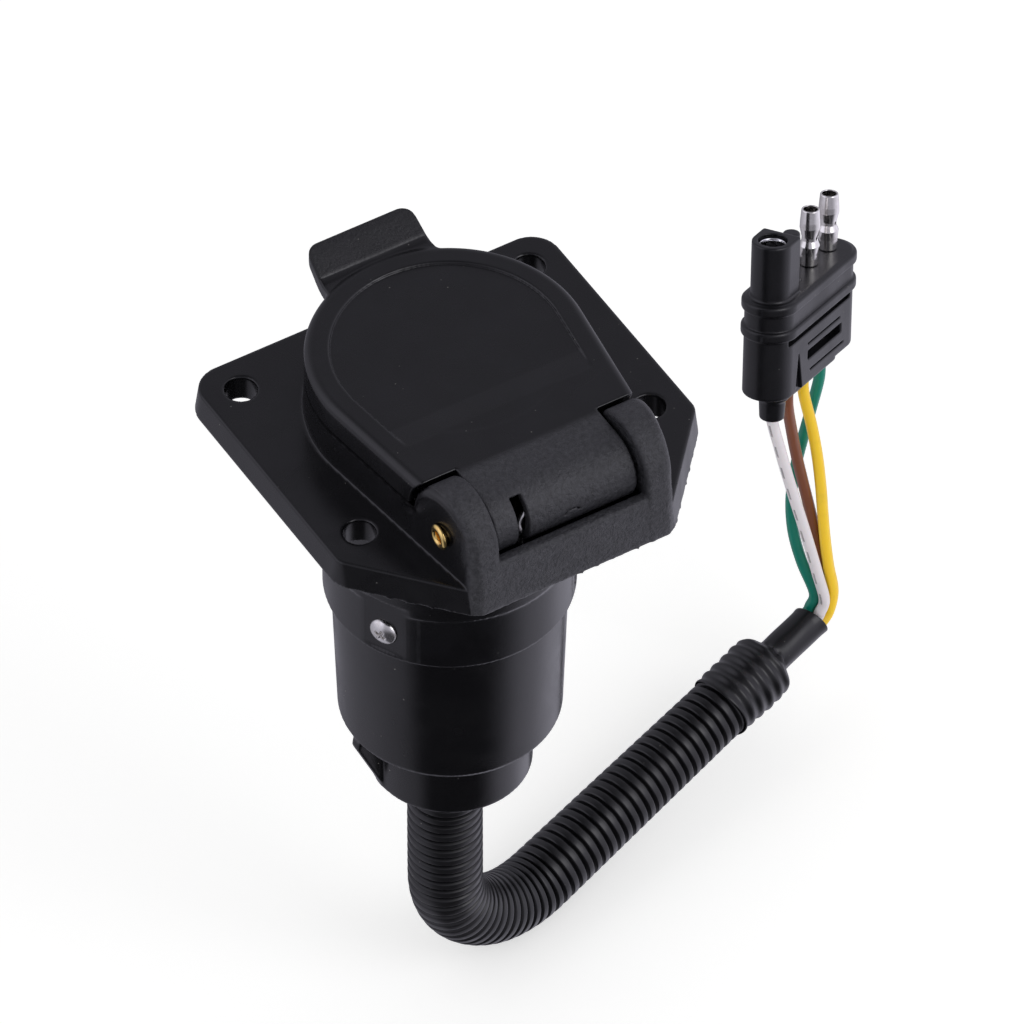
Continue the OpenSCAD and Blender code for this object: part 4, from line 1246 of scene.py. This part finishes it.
VIEW_AZIMUTH, VIEW_ELEVATION, VIEW_DISTANCE = math.radians(-31.15), math.radians(45.945), 3.0
SENSOR, LENS = 36, 503
TOWARDS = Vector((math.sin(VIEW_AZIMUTH) * math.cos(VIEW_ELEVATION),
                  -math.cos(VIEW_AZIMUTH) * math.cos(VIEW_ELEVATION), math.sin(VIEW_ELEVATION)))
RIGHT = Vector((math.cos(VIEW_AZIMUTH), math.sin(VIEW_AZIMUTH), 0))
RISE = TOWARDS.cross(RIGHT)
LEVEL = Vector((TOWARDS.x, TOWARDS.y, 0)).normalized()
AIM_RIGHT, AIM_UP = 0.013213, -0.018459  # where the middle of the picture lies from the origin, in metres
DIFFUSE_LEVEL = 0.62
# What reflections see low down and high up: (degrees from the camera's side, brightness)
LOW_RING = [(-180, 0.3), (-130, 0.35), (-84, 0.45), (-49, 0.4), (-34, 0.12), (-28, 0.05), (40, 0.05),
            (51, 0.18), (62, 0.42), (74, 0.68), (100, 0.8), (117, 0.95), (150, 0.6), (180, 0.3)]
HIGH_RING = [(-180, 0.36), (-140, 0.42), (-90, 1.0), (-55, 0.9), (-30, 0.35), (30, 0.5), (58, 1.1), (100, 0.9),
             (180, 0.36)]


def camera():
    data = bpy.data.cameras.new("camera")
    data.lens, data.sensor_width, data.clip_end = LENS, SENSOR, 20
    obj = bpy.data.objects.new("camera", data)
    bpy.context.scene.collection.objects.link(obj)
    obj.location = RIGHT * AIM_RIGHT + RISE * AIM_UP + TOWARDS * VIEW_DISTANCE
    obj.rotation_euler = TOWARDS.to_track_quat("Z", "Y").to_euler()
    bpy.context.scene.camera = obj


def floor(level):
    size = 6.0
    corners = [(x * size, y * size, level) for x, y in ((-1, -1), (1, -1), (1, 1), (-1, 1))]
    mesh = bpy.data.meshes.new("floor")
    mesh.from_pydata(corners, [], [(0, 1, 2, 3)])
    obj = bpy.data.objects.new("floor", mesh)
    bpy.context.scene.collection.objects.link(obj)
    s = Shader("floor", Base_Color=(0.85, 0.85, 0.85, 1), Roughness=0.9, Specular_IOR_Level=0.0,
               Emission_Color=(1, 1, 1, 1), Emission_Strength=0.45)
    mesh.materials.append(s.material)
    obj.visible_glossy = False
    obj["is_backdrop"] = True


def world():
    """White for the eye and for diffuse light. Reflections see a studio: dark towards the camera,
    bright to both sides, and dimmer straight above."""
    sky = bpy.data.worlds.new("studio")
    bpy.context.scene.world = sky
    sky.use_nodes = True
    sky.cycles.sampling_method = "NONE"  # its light depends on the kind of ray, which direct sampling ignores
    g = Graph(sky.node_tree)

    def ramp(turn, ring):
        node = g.add("ShaderNodeValToRGB", (turn,))
        stops = node.color_ramp.elements
        for bearing, brightness in ring:
            at = (bearing + 180) / 360
            stop = stops[0] if at == 0 else stops[-1] if at == 1 else stops.new(at)
            stop.color = (brightness,) * 3 + (1,)
        return node.outputs[0]

    ray = g.add("ShaderNodeTexCoord").outputs["Generated"]
    across, facing = (g.add("ShaderNodeVectorMath", (ray, v), operation="DOT_PRODUCT").outputs["Value"]
                      for v in (RIGHT, LEVEL))
    height = g.add("ShaderNodeSeparateXYZ", (ray,)).outputs[2]
    turn = g.calc("ARCTAN2", across, facing)
    turn = g.add("ShaderNodeMapRange", (turn, -math.pi, math.pi, 0.0, 1.0)).outputs[0]
    rings = g.mix(g.band(height, -0.35, 0.25), ramp(turn, LOW_RING), ramp(turn, HIGH_RING))
    tinted = g.mix(1.0, rings, (0.97, 0.95, 1.10, 1), blend_type="MULTIPLY")
    glossy = g.add("ShaderNodeBackground", (tinted, g.band(height, 0.77, 0.93, 1.0, 0.3)))
    plain = g.add("ShaderNodeBackground", ((1, 1, 1, 1), DIFFUSE_LEVEL))
    eye = g.add("ShaderNodeBackground", ((1, 1, 1, 1), 1.0))
    path = g.add("ShaderNodeLightPath").outputs
    mixed = g.add("ShaderNodeMixShader", (path["Is Glossy Ray"], plain.outputs[0], glossy.outputs[0]))
    mixed = g.add("ShaderNodeMixShader", (path["Is Camera Ray"], mixed.outputs[0], eye.outputs[0]))
    g.feed(g.tree.nodes["World Output"].inputs[0], mixed.outputs[0])


def panel(name, azimuth, elevation, distance, size, power):
    """A soft square light, placed by its angles from the camera's side."""
    a, e = math.radians(azimuth), math.radians(elevation)
    way = (LEVEL * math.cos(a) + RIGHT * math.sin(a)) * math.cos(e) + Vector((0, 0, math.sin(e)))
    data = bpy.data.lights.new(name, "AREA")
    data.shape, data.size, data.energy = "SQUARE", size, power
    obj = bpy.data.objects.new(name, data)
    bpy.context.scene.collection.objects.link(obj)
    obj.location = way * distance
    obj.rotation_euler = way.to_track_quat("Z", "Y").to_euler()
    obj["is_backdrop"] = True


camera()
floor(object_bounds()[0][2] - 0.5 * MM)
world()
panel("key", azimuth=58, elevation=36, distance=1.2, size=0.7, power=3.0)
bpy.context.scene.view_settings.view_transform = "Standard"
